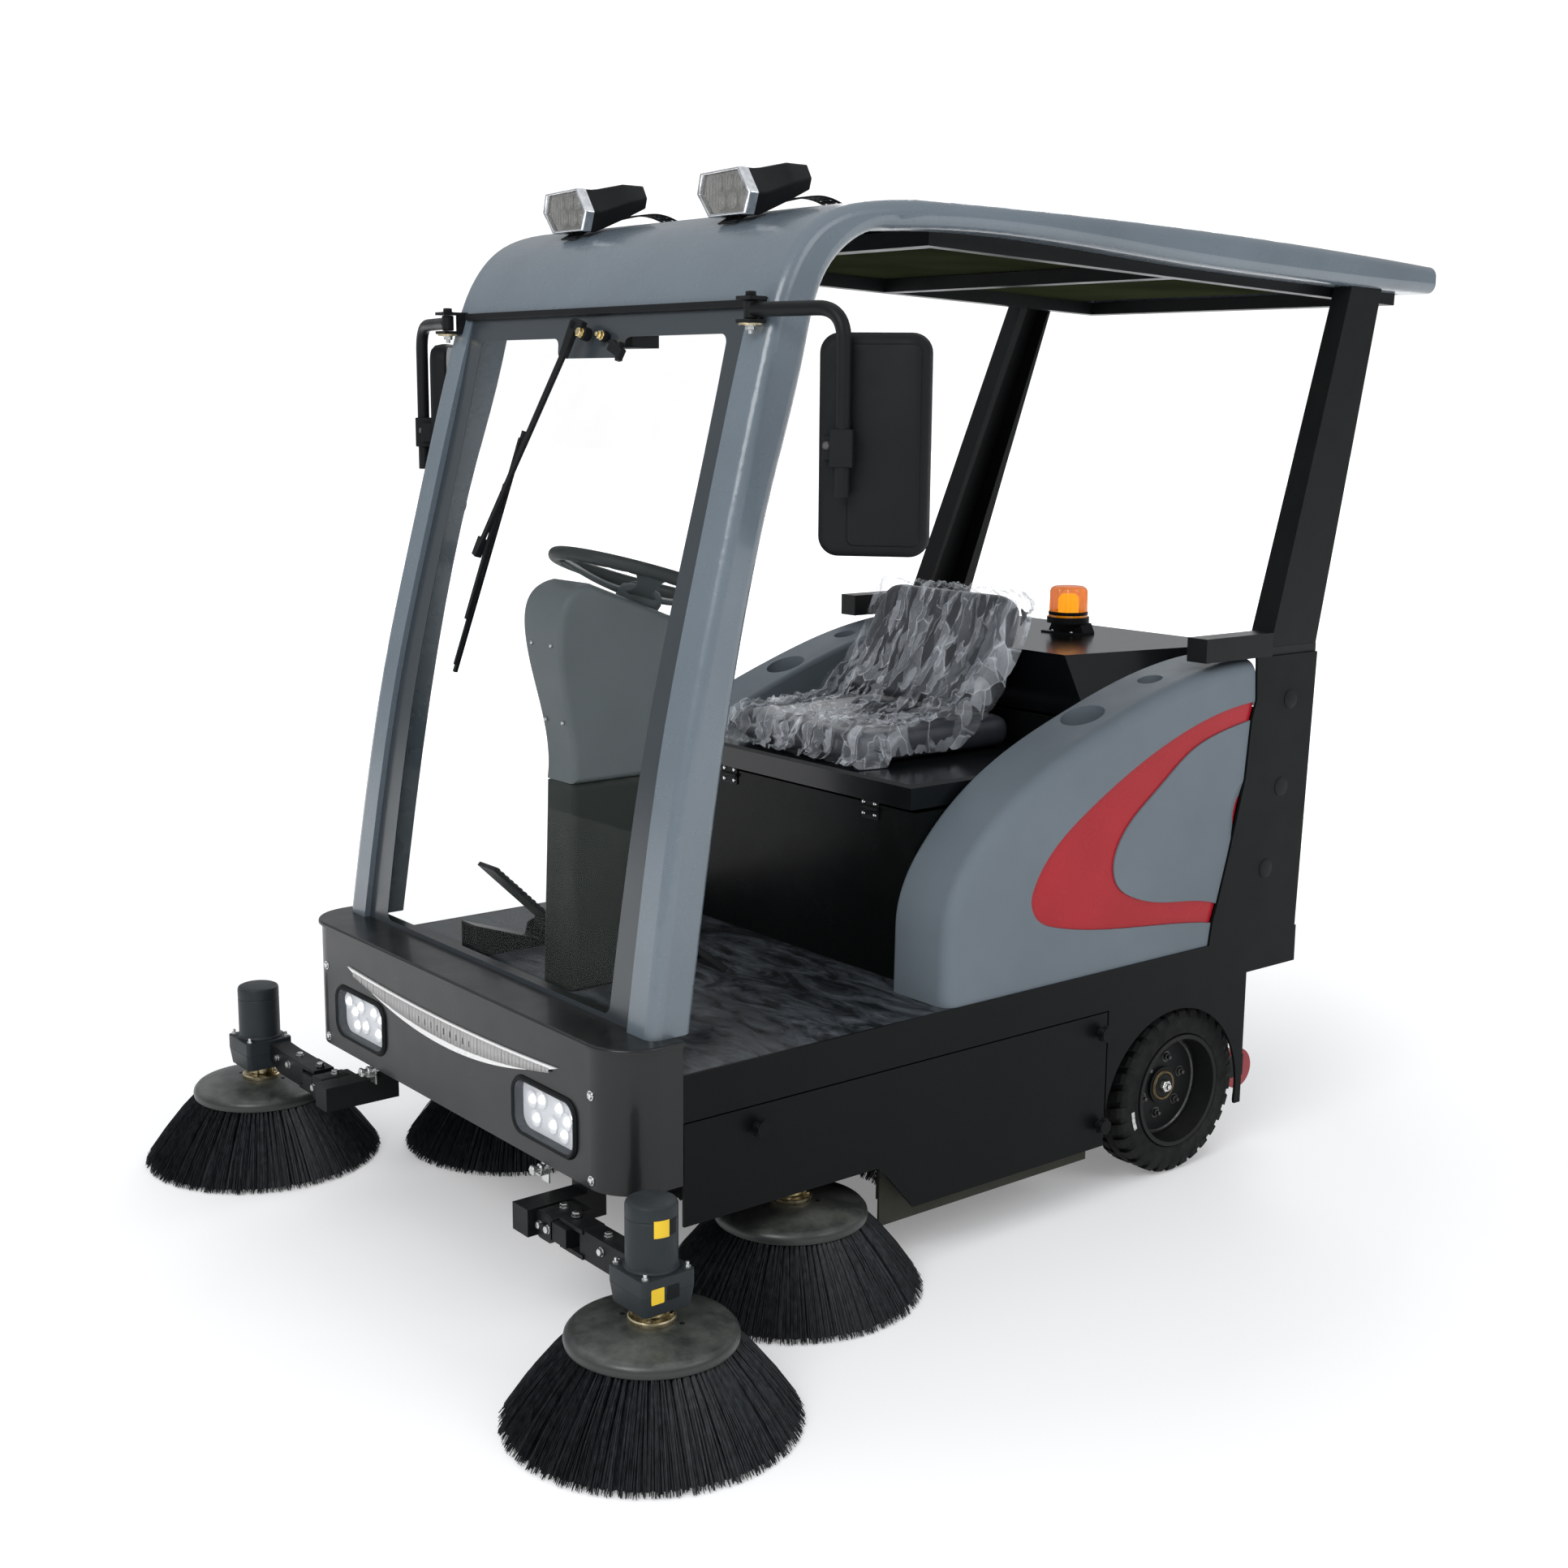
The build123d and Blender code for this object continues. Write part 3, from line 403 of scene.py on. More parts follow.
def film():
    """Crumpled clear film: pale shards between creases, partly milky haze and partly painted highlights,
    clear elsewhere.
    """
    s = Shader("clear_film")
    s.set(Base_Color=(0.80, 0.84, 0.90, 1), Roughness=0.10, Specular_IOR_Level=1.0)

    def shards(scale, stretch, warp, output):
        """Angular cells of a stretched, warped Voronoi pattern."""
        wave = s.tree.nodes.new("ShaderNodeTexNoise")
        wave.inputs["Scale"].default_value = 9
        s.link(s.place, wave.inputs["Vector"])
        push = s.tree.nodes.new("ShaderNodeVectorMath")
        push.operation = "MULTIPLY_ADD"
        push.inputs[1].default_value = (warp, warp, warp)
        s.link(wave.outputs["Color"], push.inputs[0])
        s.link(s.place, push.inputs[2])
        cell = s.tree.nodes.new("ShaderNodeTexVoronoi")
        cell.feature = "F1" if output == "Color" else "DISTANCE_TO_EDGE"
        cell.inputs["Scale"].default_value = scale
        s.link(s.stretched(stretch, push.outputs["Vector"]), cell.inputs["Vector"])
        return cell.outputs[output]

    # The pale shards and the pale lines along their edges are partly the film's own milky haze and partly
    # painted highlights, the light that creased facets would reflect.
    patches = s.span(s.noise(8, 4, 0.6), 0.38, 0.60, 0.55, 1.0)
    wide = (14, (3.2, 1.0, 0.5), 0.035)
    large = s.span(shards(*wide, "Color"), 0.42, 0.80, 0.03, 0.31)
    small = s.span(shards(34, (2.6, 1.1, 0.5), 0.02, "Color"), 0.58, 0.78, 0.0, 0.30)
    edges = s.span(shards(*wide, "Distance"), 0.0, 0.03, 0.36, 0.0)
    # haze here holds both the milky haze and the painted highlights.
    haze = s.calculate("ADD", s.calculate("ADD", large, small, clamp=True), edges, clamp=True)
    haze = s.calculate("MULTIPLY", haze, patches, clamp=True)
    s.link(haze, s.base.inputs["Alpha"])
    s.bump(s.noise(45, 4, 0.6, distortion=1.0), 0.003)
    s.material.surface_render_method = "BLENDED"
    return s.material


def fender_paint():
    """Grained grey moulding whose shallow side recess is painted red."""
    grey = (0.130, 0.157, 0.180)
    s = Shader("fender_plastic")
    s.set(Specular_IOR_Level=0.2)
    tone = s.ramp(s.noise(3.1, 5), (0.3, shade(grey, 0.92)), (0.7, shade(grey, 1.08)))
    across = s.calculate("ABSOLUTE", s.part(s.place, "X"))
    at_depth = s.calculate("COMPARE", across, (HALF_WIDTH - RECESS_DEPTH) * MM, 0.0006)
    flat = s.span(s.calculate("ABSOLUTE", s.normal("X")), 0.97, 0.98, 0, 1)
    red = s.ramp(s.noise(5, 4), (0.3, (0.31, 0.006, 0.012)), (0.7, (0.36, 0.009, 0.017)))
    in_recess = s.times(at_depth, flat)
    s.colour(s.mix(in_recess, tone, red))
    gloss = s.span(in_recess, 0, 1, 1.0, 0.5)
    s.rough(s.times(gloss, s.span(s.noise(14.0, 5), 0.3, 0.7, 0.46, 0.60)))
    grain = s.times(s.span(in_recess, 0, 1, 1.0, 0.1), s.noise(1300, 2))
    s.bump(grain, 0.00035)
    return s.material


def make_materials():
    """Every look, by the name that pieces and CAD nodes ask for."""
    steel = (0.0075, 0.0085, 0.0088)
    return {
        "black_steel": painted("black_steel", steel, 0.38, 900, 0.00012, DUST, 0.05, shine=0.12),
        "bumper_black": painted("bumper_black", steel, 0.30, 900, 0.00012, DUST, 0.05, shine=0.25,
                                coat=0.2),
        "gloss_black_steel": painted("gloss_black", (0.004, 0.005, 0.006), 0.17, 700, 0.00004, DUST,
                                     0.03, shine=0.22, coat=0.15),
        "box_black": painted("box_black", (0.004, 0.005, 0.005), 0.25, 700, 0.00004, DUST, 0.03,
                             shine=0.08),
        "side_black": painted("side_black", (0.0055, 0.0065, 0.0068), 0.36, 900, 0.0001, DUST, 0.03,
                              shine=0.07),
        "deck_steel": deck_paint(),
        "flap_rubber": painted("flap_rubber", (0.040, 0.042, 0.032), 0.75, 400, 0.0004, DUST, 0.5,
                               shine=0.2),
        "grey_moulding": painted("grey_gelcoat", (0.108, 0.135, 0.160), 0.27, 260, 0.00010, DUST, 0.05,
                                 coat=0.25),
        "fender_plastic": fender_paint(),
        "column_plastic": painted("column_plastic", (0.098, 0.115, 0.122), 0.5, 1200, 0.0002, DUST, 0.1,
                                  shine=0.35),
        "column_dark": painted("column_dark", (0.018, 0.022, 0.019), 0.5, 900, 0.0002, DUST, 0.2,
                               shine=0.15),
        "black_plastic": painted("black_plastic", (0.0065, 0.0075, 0.0085), 0.5, 1500, 0.00025, DUST,
                                 0.06, shine=0.12),
        "motor_cast": painted("motor_cast", (0.019, 0.024, 0.027), 0.42, 800, 0.0002, DUST, 0.08,
                              shine=0.2),
        "disc_plastic": painted("disc_plastic", (0.022, 0.025, 0.023), 0.36, 120, 0.0002,
                                (0.20, 0.21, 0.185), 0.5, shine=0.5, cloud=0.12),
        "rim_steel": painted("rim_steel", (0.010, 0.011, 0.011), 0.5, 500, 0.0002,
                             (0.06, 0.055, 0.045), 0.4, shine=0.15),
        "red_wheel": painted("red_wheel", (0.30, 0.02, 0.03), 0.45, 300, 0.0002),
        # Roof liner: its yellow-green moulding is painted near black, which is painted shade under the
        # roof; the olive hint is its own colour.
        "liner": painted("liner", (0.020, 0.024, 0.012), 0.9, 60, 0.0005, shine=0.0, cloud=0.3),
        "band": painted("band", (0.030, 0.037, 0.043), 0.22, 300, 0.00005, shine=0.5, cloud=0.04),
        "yellow_label": painted("yellow_label", (0.76, 0.50, 0.008), 0.4, 300, 0.0001),
        "white_label": painted("white_label", (0.60, 0.61, 0.60), 0.4, 300, 0.0001),
        "trim_silver": painted("trim_silver", (0.74, 0.74, 0.73), 0.25, 300, 0.0001, shine=1.0,
                               cloud=0.04),
        "trim_inlay": painted("trim_inlay", (0.36, 0.36, 0.35), 0.45, 300, 0.0002),
        "chrome": bare_metal("chrome", (0.86, 0.87, 0.89), 0.10),
        "zinc": bare_metal("zinc", (0.66, 0.67, 0.66), 0.3),
        "gold_zinc": bare_metal("gold_zinc", (0.66, 0.56, 0.36), 0.32),
        "bronze": bare_metal("bronze", (0.16, 0.125, 0.07), 0.5),
        "dark_bolt": bare_metal("dark_bolt", (0.10, 0.10, 0.10), 0.45),
        "brass": bare_metal("brass", (0.78, 0.62, 0.32), 0.25),
        "mirror": bare_metal("mirror_glass", (0.75, 0.78, 0.80), 0.03, pitted=False),
        # The headlight reflector's pale tone and faint glow are a painted reflection of its bright silver
        # face.
        "reflector": glowing("reflector", (0.9, 0.92, 0.95), 0.22, (0.50, 0.51, 0.53)),
        "lamp_reflector": painted("lamp_reflector", (0.26, 0.26, 0.245), 0.2, 300, 0.0001, shine=0.9),
        "glass": clear("cab_glass", (0.02, 0.03, 0.025), 0.01, 0.06, 0.03),
        "lens": clear("lens_clear", (0.45, 0.50, 0.56), 0.03, 0.10, 0.06),
        "lamp_lens": clear("lamp_lens", (0.26, 0.26, 0.25), 0.05, 0.35, 0.15),
        "amber": clear("amber_clear", (0.95, 0.30, 0.0), 0.10, 0.80, 0.05),
        "film": film(),
        "vinyl": vinyl(),
        "tyre": tyre_rubber(),
        "bristle": bristle_plastic(),
        "led": glowing("led_chip", (1.0, 0.98, 0.95), 2.2, (0.9, 0.9, 0.9)),
        "amber_glow": glowing("amber_glow", (1.0, 0.45, 0.02), 3.0, (0.9, 0.5, 0.1)),
        "grip": painted("grip_plastic", (0.016, 0.019, 0.020), 0.5, 1400, 0.00025, DUST, 0.08, shine=0.35),
        "fairing": painted("wheel_fairing", (0.060, 0.072, 0.078), 0.5, 1200, 0.0002, DUST, 0.1,
                           shine=0.35),
    }


# --- mesh building, in millimetres ----------------------------------------------------------------
def basis(axis):
    """Two unit vectors square to an axis."""
    axis = Vector(axis).normalized()
    side = axis.cross(Vector((0, 0, 1)))
    if side.length < 1e-4:
        side = Vector((1, 0, 0))
    side.normalize()
    return side, axis.cross(side), axis


def bridge(bm, loops):
    """Join closed loops of equal length, each to the next."""
    for low, high in zip(loops, loops[1:]):
        for i in range(len(low)):
            j = (i + 1) % len(low)
            bm.faces.new((low[i], low[j], high[j], high[i]))


def lathe(bm, origin, axis, profile, steps=32):
    """Turn a list of (radius, distance along the axis) about the axis."""
    side, up, axis = basis(axis)
    origin = Vector(origin)
    rings = []
    for radius, along in profile:
        if radius < 1e-6:
            rings.append([bm.verts.new(origin + axis * along)])
            continue
        ring = []
        for i in range(steps):
            angle = math.tau * i / steps
            ring.append(bm.verts.new(origin + axis * along
                                     + radius * (math.cos(angle) * side + math.sin(angle) * up)))
        rings.append(ring)
    for low, high in zip(rings, rings[1:]):
        for i in range(steps):
            j = (i + 1) % steps
            corners = [low[i % len(low)], low[j % len(low)], high[j % len(high)], high[i % len(high)]]
            unique = list(dict.fromkeys(corners))
            if len(unique) > 2:
                bm.faces.new(unique)
    return rings


def cylinder(bm, start, axis, radius, length, steps=24, edge=None):
    """A closed cylinder with a small chamfer at both ends."""
    edge = min(radius, length) * 0.12 if edge is None else edge
    lathe(bm, start, axis, [(0, 0), (radius - edge, 0), (radius, edge), (radius, length - edge),
                            (radius - edge, length), (0, length)], steps)


def box(bm, low, high, matrix=None):
    """A plain box between two corners, moved by a placing matrix if one is given."""
    verts = [bm.verts.new(Vector((x, y, z))) for x in (low[0], high[0]) for y in (low[1], high[1])
             for z in (low[2], high[2])]
    for face in BOX_FACES:
        bm.faces.new([verts[i] for i in face])
    if matrix:
        bmesh.ops.transform(bm, matrix=matrix, verts=verts)
    return verts


def tube(bm, points, radius, steps=12):
    """A closed round tube along a list of points."""
    points = [Vector(p) for p in points]
    up = None
    rings = []
    for i, point in enumerate(points):
        ahead = (points[min(i + 1, len(points) - 1)] - points[max(i - 1, 0)]).normalized()
        if up is None:
            up = basis(ahead)[0]
        up = (up - ahead * up.dot(ahead)).normalized()
        side = ahead.cross(up)
        rings.append([bm.verts.new(point + radius * (math.cos(a) * up + math.sin(a) * side))
                      for a in (math.tau * k / steps for k in range(steps))])
    bridge(bm, rings)
    bm.faces.new(list(reversed(rings[0])))
    bm.faces.new(rings[-1])


def prism(bm, outline, place, depth):
    """Push a flat outline of (x, y) out along +Z of a placing matrix."""
    low = [bm.verts.new(place @ Vector((x, y, 0))) for x, y in outline]
    high = [bm.verts.new(place @ Vector((x, y, depth))) for x, y in outline]
    bm.faces.new(list(reversed(low)))
    bm.faces.new(high)
    bridge(bm, (low, high))


def rounded_outline(width, height, radius, steps=6):
    """Corner-rounded rectangle about the origin."""
    points = []
    for cx, cy, first in ((1, 1, 0), (-1, 1, 90), (-1, -1, 180), (1, -1, 270)):
        for k in range(steps + 1):
            angle = math.radians(first + 90 * k / steps)
            points.append((cx * (width / 2 - radius) + radius * math.cos(angle),
                           cy * (height / 2 - radius) + radius * math.sin(angle)))
    return points


def facing(place, normal, up=UP):
    """Matrix whose +Z is the normal and whose +Y is close to up."""
    z = Vector(normal).normalized()
    x = Vector(up).cross(z).normalized()
    matrix = Matrix((x, z.cross(x), z)).transposed().to_4x4()
    matrix.translation = Vector(place)
    return matrix


def piece(name, bm, body, material, bevel=0.0, smooth=True, subdivide=0, angle=35, stands_for=None):
    """Turn a mesh drawn in millimetres into a named piece that rides on a CAD body.

    A piece that stands for a CAD node is shown in place of it.
    """
    bmesh.ops.recalc_face_normals(bm, faces=bm.faces)
    bmesh.ops.scale(bm, vec=(MM, MM, MM), verts=bm.verts)
    mesh = bpy.data.meshes.new(name)
    bm.to_mesh(mesh)
    bm.free()
    obj = bpy.data.objects.new(name, mesh)
    bpy.context.collection.objects.link(obj)
    mesh.materials.append(MATERIALS[material])
    if smooth:
        mesh.shade_smooth()
        mesh.set_sharp_from_angle(angle=math.radians(angle))
    if bevel:
        edge = obj.modifiers.new("edge", "BEVEL")
        edge.width = bevel * MM
        edge.segments = 2
        edge.limit_method = "ANGLE"
        edge.angle_limit = math.radians(40)
        edge.harden_normals = False
    if subdivide:
        soft = obj.modifiers.new("soft", "SUBSURF")
        soft.levels = soft.render_levels = subdivide
    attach(obj, body)
    if stands_for:
        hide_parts(stands_for)
    return obj


def thicken(obj, thickness):
    """Give a drawn sheet its thickness, in millimetres."""
    obj.modifiers.new("sheet", "SOLIDIFY").thickness = thickness * MM


def to_side(bm, side):
    """Mirror a mesh drawn for the left onto the right, where the side asks for it."""
    for vert in bm.verts:
        vert.co.x *= side


def flipped(points, side):
    """The same for a list of points."""
    return [(side * p[0], *p[1:]) for p in points]


def hex_bolt(bm, place, axis, size, washer=True):
    """Hexagon head on a washer."""
    axis = Vector(axis).normalized()
    place = Vector(place)
    if washer:
        cylinder(bm, place, axis, size * 1.15, size * 0.18, 20)
        place = place + axis * size * 0.18
    lathe(bm, place, axis, [(0, 0), (size * 0.9, 0), (size, size * 0.1), (size, size * 0.62),
                            (size * 0.84, size * 0.74), (0, size * 0.76)], 6)


def pan_screw(bm, place, axis, radius):
    """Domed screw head with a cross recess."""
    lathe(bm, place, axis, [(0, -1), (radius, -1), (radius, radius * 0.15), (radius * 0.85, radius * 0.45),
                            (radius * 0.4, radius * 0.62), (radius * 0.2, radius * 0.62),
                            (radius * 0.16, radius * 0.3), (0, radius * 0.3)], 20)


# --- brushes --------------------------------------------------------------------------------------
def bristle(bm, root, tip, width, sag=0.0, steps=3):
    """One bristle: a three-sided hair that narrows a little and bends outward."""
    root, tip = Vector(root), Vector(tip)
    side, up, _ = basis(tip - root)
    rings = []
    for k in range(steps + 1):
        t = k / steps
        centre = root.lerp(tip, t) + Vector((0, 0, sag * 4 * t * (1 - t)))
        reach = width * (1 - 0.35 * t)
        rings.append([bm.verts.new(centre + reach * (math.cos(a) * side + math.sin(a) * up))
                      for a in (0, math.tau / 3, 2 * math.tau / 3)])
    bridge(bm, rings)
    bm.faces.new(rings[0])
    bm.faces.new(rings[-1])


def side_brush(name, x, y, seed):
    """Domed disc with a rolled rim, tufts set under the rim, and the plated hub."""
    rng = random.Random(seed)
    bm = bmesh.new()
    lathe(bm, (x, y, 0), UP, [
        (0, 176), (36, 176), (70, 174.5), (100, 171), (121, 166), (131, 164.5), (138, 162), (143, 156),
        (144.5, 149), (143, 142), (137, 138), (131, 138), (126, 131), (100, 128), (60, 128), (0, 128)], 96)
    piece(f"{name}.disc", bm, name, "disc_plastic", stands_for=name)
    bm = bmesh.new()
    rings = lathe(bm, (x, y, 0), UP, [(124, 138), (150, 112), (186, 74), (214, 40), (238, 7), (228, 6),
                                             (200, 40), (124, 120)], 3 * TUFTS)
    for ring in rings:
        for i, vert in enumerate(ring):
            if i % 3 == 0:
                vert.co -= (vert.co - Vector((x, y, vert.co.z))) * 0.022
    piece(f"{name}.skirt", bm, name, "bristle", smooth=False, stands_for=name)
    bm = bmesh.new()
    for i in range(TUFTS):
        angle = math.tau * (i + 0.25 * rng.uniform(-1, 1)) / TUFTS
        lean = rng.uniform(-0.012, 0.012)
        for _ in range(26):
            spread = rng.uniform(-1, 1)
            depth = rng.uniform(0, 1)
            a0 = angle + 0.014 * spread
            a1 = angle + lean + 0.036 * spread + rng.uniform(-0.006, 0.006)
            r0 = DISC_R - 2 - 13 * depth
            r1 = BRUSH_R - 1 - 30 * depth ** 1.5 - rng.uniform(0, 3)
            root = (x + r0 * math.cos(a0), y + r0 * math.sin(a0), 142)
            tip = (x + r1 * math.cos(a1), y + r1 * math.sin(a1), 2.2 + 7 * rng.random() ** 3)
            bristle(bm, root, tip, rng.uniform(0.85, 1.35), sag=rng.uniform(5, 9))
    piece(f"{name}.tufts", bm, name, "bristle", smooth=False, stands_for=name)
    bm = bmesh.new()
    lathe(bm, (x, y, 0), UP, [(0, 175), (39, 175), (40, 177), (40, 183), (38, 185), (25, 185),
                                     (23, 187), (23, 204), (0, 204)], 40)
    for k in range(4):
        a = math.tau * (k + 0.5) / 4
        cylinder(bm, (x + 26 * math.cos(a), y + 26 * math.sin(a), 184), UP, 3.2, 19, 10)
        hex_bolt(bm, (x + 31 * math.cos(a), y + 31 * math.sin(a), 184), UP, 5.5)
    piece(f"{name}.hub", bm, name, "gold_zinc")
    bm = bmesh.new()
    # Black discs stand for two holes in the disc's top: painted shade in place of the openings.
    for a in (0.6, 3.7):
        cylinder(bm, (x + 52 * math.cos(a), y + 52 * math.sin(a), 174.6), UP, 4.5, 1.4, 12)
    piece(f"{name}.holes", bm, name, "black_plastic")


def gear_motor(name, x, y, body, node):
    """Upright round motor with a pressed cap, on a square gearbox with corner bosses."""
    bm = bmesh.new()
    plan = rounded_outline(103, 103, 9)
    prism(bm, plan, Matrix.Translation((x, y, 240)), 27.5)
    low = rounded_outline(96, 96, 12)
    ring_low = [bm.verts.new((x + px, y + py, 205.5)) for px, py in low]
    ring_high = [bm.verts.new((x + px, y + py, 240)) for px, py in plan]
    bridge(bm, (ring_low, ring_high))
    bm.faces.new(list(reversed(ring_low)))
    bm.faces.new(ring_high)
    lathe(bm, (x, y, 0), UP, [
        (0, 266), (46, 266), (46, 271), (44, 273), (43.4, 276), (43.4, 354), (42.4, 355), (42.4, 356.5),
        (43.4, 357.5), (43.4, 375), (41.5, 379.5), (37, 381.5), (34, 382), (0, 382.5)], 64)
    corners = [(x + sx * 41, y + sy * 41) for sx in (-1, 1) for sy in (-1, 1)]
    for corner in corners:
        cylinder(bm, (*corner, 262), UP, 9.5, 6.5, 20)
    piece(f"{name}.case", bm, body, "motor_cast", bevel=0.8, stands_for=node)
    bm = bmesh.new()
    for corner in corners:
        hex_bolt(bm, (*corner, 267.5), UP, 5.6)
        cylinder(bm, (*corner, 270), UP, 3.2, 8.5, 10)
    piece(f"{name}.bolts", bm, body, "zinc")
    side = 1 if x > 0 else -1
    bm = bmesh.new()
    arc_label(bm, (x, y, 346), 43.8, math.radians(-90 + 78 * side), 27, 29)
    prism(bm, rounded_outline(25, 26, 2), facing((x + side * 51.4, y - 24, 240), (side, 0, 0)), 0.5)
    piece(f"{name}.labels", bm, body, "yellow_label")
    bm = bmesh.new()
    arc_label(bm, (x, y, 346), 43.7, math.radians(-90 + 108 * side), 17, 27)
    prism(bm, rounded_outline(24, 24, 2), facing((x + side * 51.4, y + 6, 240), (side, 0, 0)), 0.4)
    piece(f"{name}.dark_labels", bm, body, "black_plastic")


def arc_label(bm, centre, radius, angle, width, height):
    """A plain sticker bent round an upright cylinder."""
    turn = width / radius
    columns = []
    for k in range(9):
        a = angle + turn * (k / 8 - 0.5)
        x = centre[0] + radius * math.cos(a)
        y = centre[1] + radius * math.sin(a)
        columns.append([bm.verts.new((x, y, centre[2] + dz)) for dz in (-height / 2, height / 2)])
    for left, right in zip(columns, columns[1:]):
        bm.faces.new((left[0], right[0], right[1], left[1]))


def roller_brush():
    """Level main broom: rows of tufts wound round a core."""
    rng = random.Random(11)
    centre = ROLLER_CENTRE
    bm = bmesh.new()
    cylinder(bm, centre - Vector((376, 0, 0)), (1, 0, 0), 78, 752, 48)
    cylinder(bm, centre - Vector((390, 0, 0)), (1, 0, 0), 14.5, 780, 24)
    piece("roller_brush.core", bm, "roller", "black_plastic", stands_for="roller_brush")
    bm = bmesh.new()
    for row in range(12):
        for i in range(70):
            along = -370 + 740 * i / 69
            angle = math.tau * row / 12 + 1.1 * i / 69 + rng.uniform(-0.02, 0.02)
            for _ in range(7):
                a = angle + rng.uniform(-0.07, 0.07)
                out = Vector((0, math.cos(a), math.sin(a)))
                root = centre + Vector((along, 0, 0)) + 76 * out
                tip = centre + Vector((along + rng.uniform(-7, 7), 0, 0)) + rng.uniform(143, 147) * out
                bristle(bm, root, tip, 1.3, steps=1)
    piece("roller_brush.tufts", bm, "roller", "bristle", smooth=False,
          stands_for="roller_brush")


# --- wheels ---------------------------------------------------------------------------------------
def tyre(name, centre, body):
    """Tyre with ribbed shoulders and a grooved centre."""
    bm = bmesh.new()
    centre = Vector(centre)
    half = TYRE_WIDTH / 2
    profile = [(RIM_R, -half + 8), (RIM_R + 3, -half + 3), (RIM_R + 9, -half + 1), (RIM_R + 14, -half + 3),
               (RIM_R + 34, -half + 1), (RIM_R + 46, -half + 4), (TYRE_R - 9, -half + 9),
               (TYRE_R - 8, -12), (TYRE_R - 2, -10), (TYRE_R - 1.5, 0)]
    profile += [(r, -a) for r, a in reversed(profile[:-1])]
    lathe(bm, centre, (1, 0, 0), profile + [profile[0]], 96)
    lugs = 30
    for i in range(lugs):
        for row in (-1, 1):
            a = math.tau * (i + (0.5 if row > 0 else 0)) / lugs
            width = 0.62 * math.tau / lugs
            shape = [(TYRE_R - 10, 13, 0.2), (TYRE_R - 0.2, 14, 0.2), (TYRE_R - 0.4, half - 12, -0.15),
                     (TYRE_R - 7, half - 4, -0.2), (TYRE_R - 24, half - 0.6, -0.2),
                     (TYRE_R - 26, half - 3, -0.2)]
            edges = []
            for turn in (-0.5, 0.5):
                line = []
                for radius, along, skew in shape:
                    angle = a + width * turn + skew * width
                    line.append(bm.verts.new(centre + Vector((row * along, radius * math.cos(angle),
                                                              radius * math.sin(angle)))))
                edges.append(line)
            for k in range(len(shape) - 1):
                bm.faces.new((edges[0][k], edges[0][k + 1], edges[1][k + 1], edges[1][k]))
            bm.faces.new(edges[0])
            bm.faces.new(list(reversed(edges[1])))
    piece(name + ".tread", bm, body, "tyre", bevel=0.7, angle=30, stands_for=name)


def rim_detail(name, centre, body, outward):
    """Wheel bolts, hub ring and axle nut on the open side of a rim."""
    face = centre[0] + outward * (TYRE_WIDTH / 2 - 52)
    origin = Vector((face, centre[1], centre[2]))
    axis = (outward, 0, 0)
    bm = bmesh.new()
    for k in range(6):
        a = math.tau * k / 6 + 0.3
        spot = origin + Vector((-outward * 0.5, 62 * math.cos(a), 62 * math.sin(a)))
        cylinder(bm, spot, axis, 12.5, 2, 20)
        hex_bolt(bm, spot, axis, 8.5)
        cylinder(bm, spot, axis, 4.5, 14, 12)
    lathe(bm, origin, axis, [(110, -1), (108, 3), (104, 3), (100, -1)], 64)
    piece(f"{name}.bolts", bm, body, "dark_bolt")
    bm = bmesh.new()
    lathe(bm, origin, axis, [(25, 6), (27, 11), (31, 12), (34, 9), (34, -2), (25, -2), (25, 6)], 48)
    piece(f"{name}.hub_ring", bm, body, "bronze")
    bm = bmesh.new()
    lathe(bm, origin, axis, [(0, 7), (25, 7), (25, -2), (0, -2)], 40)
    lathe(bm, origin, axis, [(0, 27), (6, 27), (7, 25), (7, 20), (13, 20), (14.5, 18), (14.5, 8), (0, 8)],
          6)
    piece(f"{name}.axle_nut", bm, body, "zinc")
    bm = bmesh.new()
    wall = centre[0] + outward * (TYRE_WIDTH / 2 - 0.4)
    for step in range(3):
        corners = []
        for k, radius in ((step, 141), (step + 1, 141), (step + 1, 150), (step, 150)):
            a = math.radians(187 + k * 5.5)
            corners.append(bm.verts.new((wall, centre[1] + radius * math.cos(a),
                                         centre[2] + radius * math.sin(a))))
        bm.faces.new(corners)
    label = piece(f"{name}.label", bm, body, "white_label")
    thicken(label, 0.4)


# --- seat -----------------------------------------------------------------------------------------
def soft_block(bm, size, rounding, cuts=10):
    """A cushion form about the origin: a slab with rounded edges and corners."""
    verts = box(bm, [-s / 2 for s in size], [s / 2 for s in size])
    edges = list({e for v in verts for e in v.link_edges})
    bmesh.ops.subdivide_edges(bm, edges=edges, cuts=cuts, use_grid_fill=True)
    half = [s / 2 for s in size]
    for vert in bm.verts:
        inner = Vector([max(-h + rounding, min(h - rounding, c)) for h, c in zip(half, vert.co)])
        reach = vert.co - inner
        if reach.length > 1e-6:
            vert.co = inner + reach.normalized() * min(rounding, reach.length)


def seat_cushion():
    """Bucket base: side bolsters, a dished middle and sewn channels."""
    bm = bmesh.new()
    soft_block(bm, (444, 420, 74), 34, 18)
    for vert in bm.verts:
        x, y, z = vert.co
        if z > 0:
            across = min(1.0, abs(x) / 222)
            dish = 15 * (1 - across ** 2.2) * max(0, 1 - (abs(y + 20) / 215) ** 3)
            seam = 6 * math.exp(-((abs(x) - 128) / 7) ** 2) * max(0, 1 - (abs(y) / 205) ** 8)
            vert.co.z -= dish + seam
    bmesh.ops.translate(bm, vec=CUSHION_CENTRE, verts=bm.verts)
    pad = piece("seat_cushion.pad", bm, "seat", "vinyl", subdivide=1, angle=180,
                stands_for="seat_cushion")


def lean(point):
    """From the backrest's own upright frame into place on the seat."""
    return Matrix.Rotation(-BACKREST_LEAN, 3, "X") @ Vector(point) + BACKREST_CENTRE


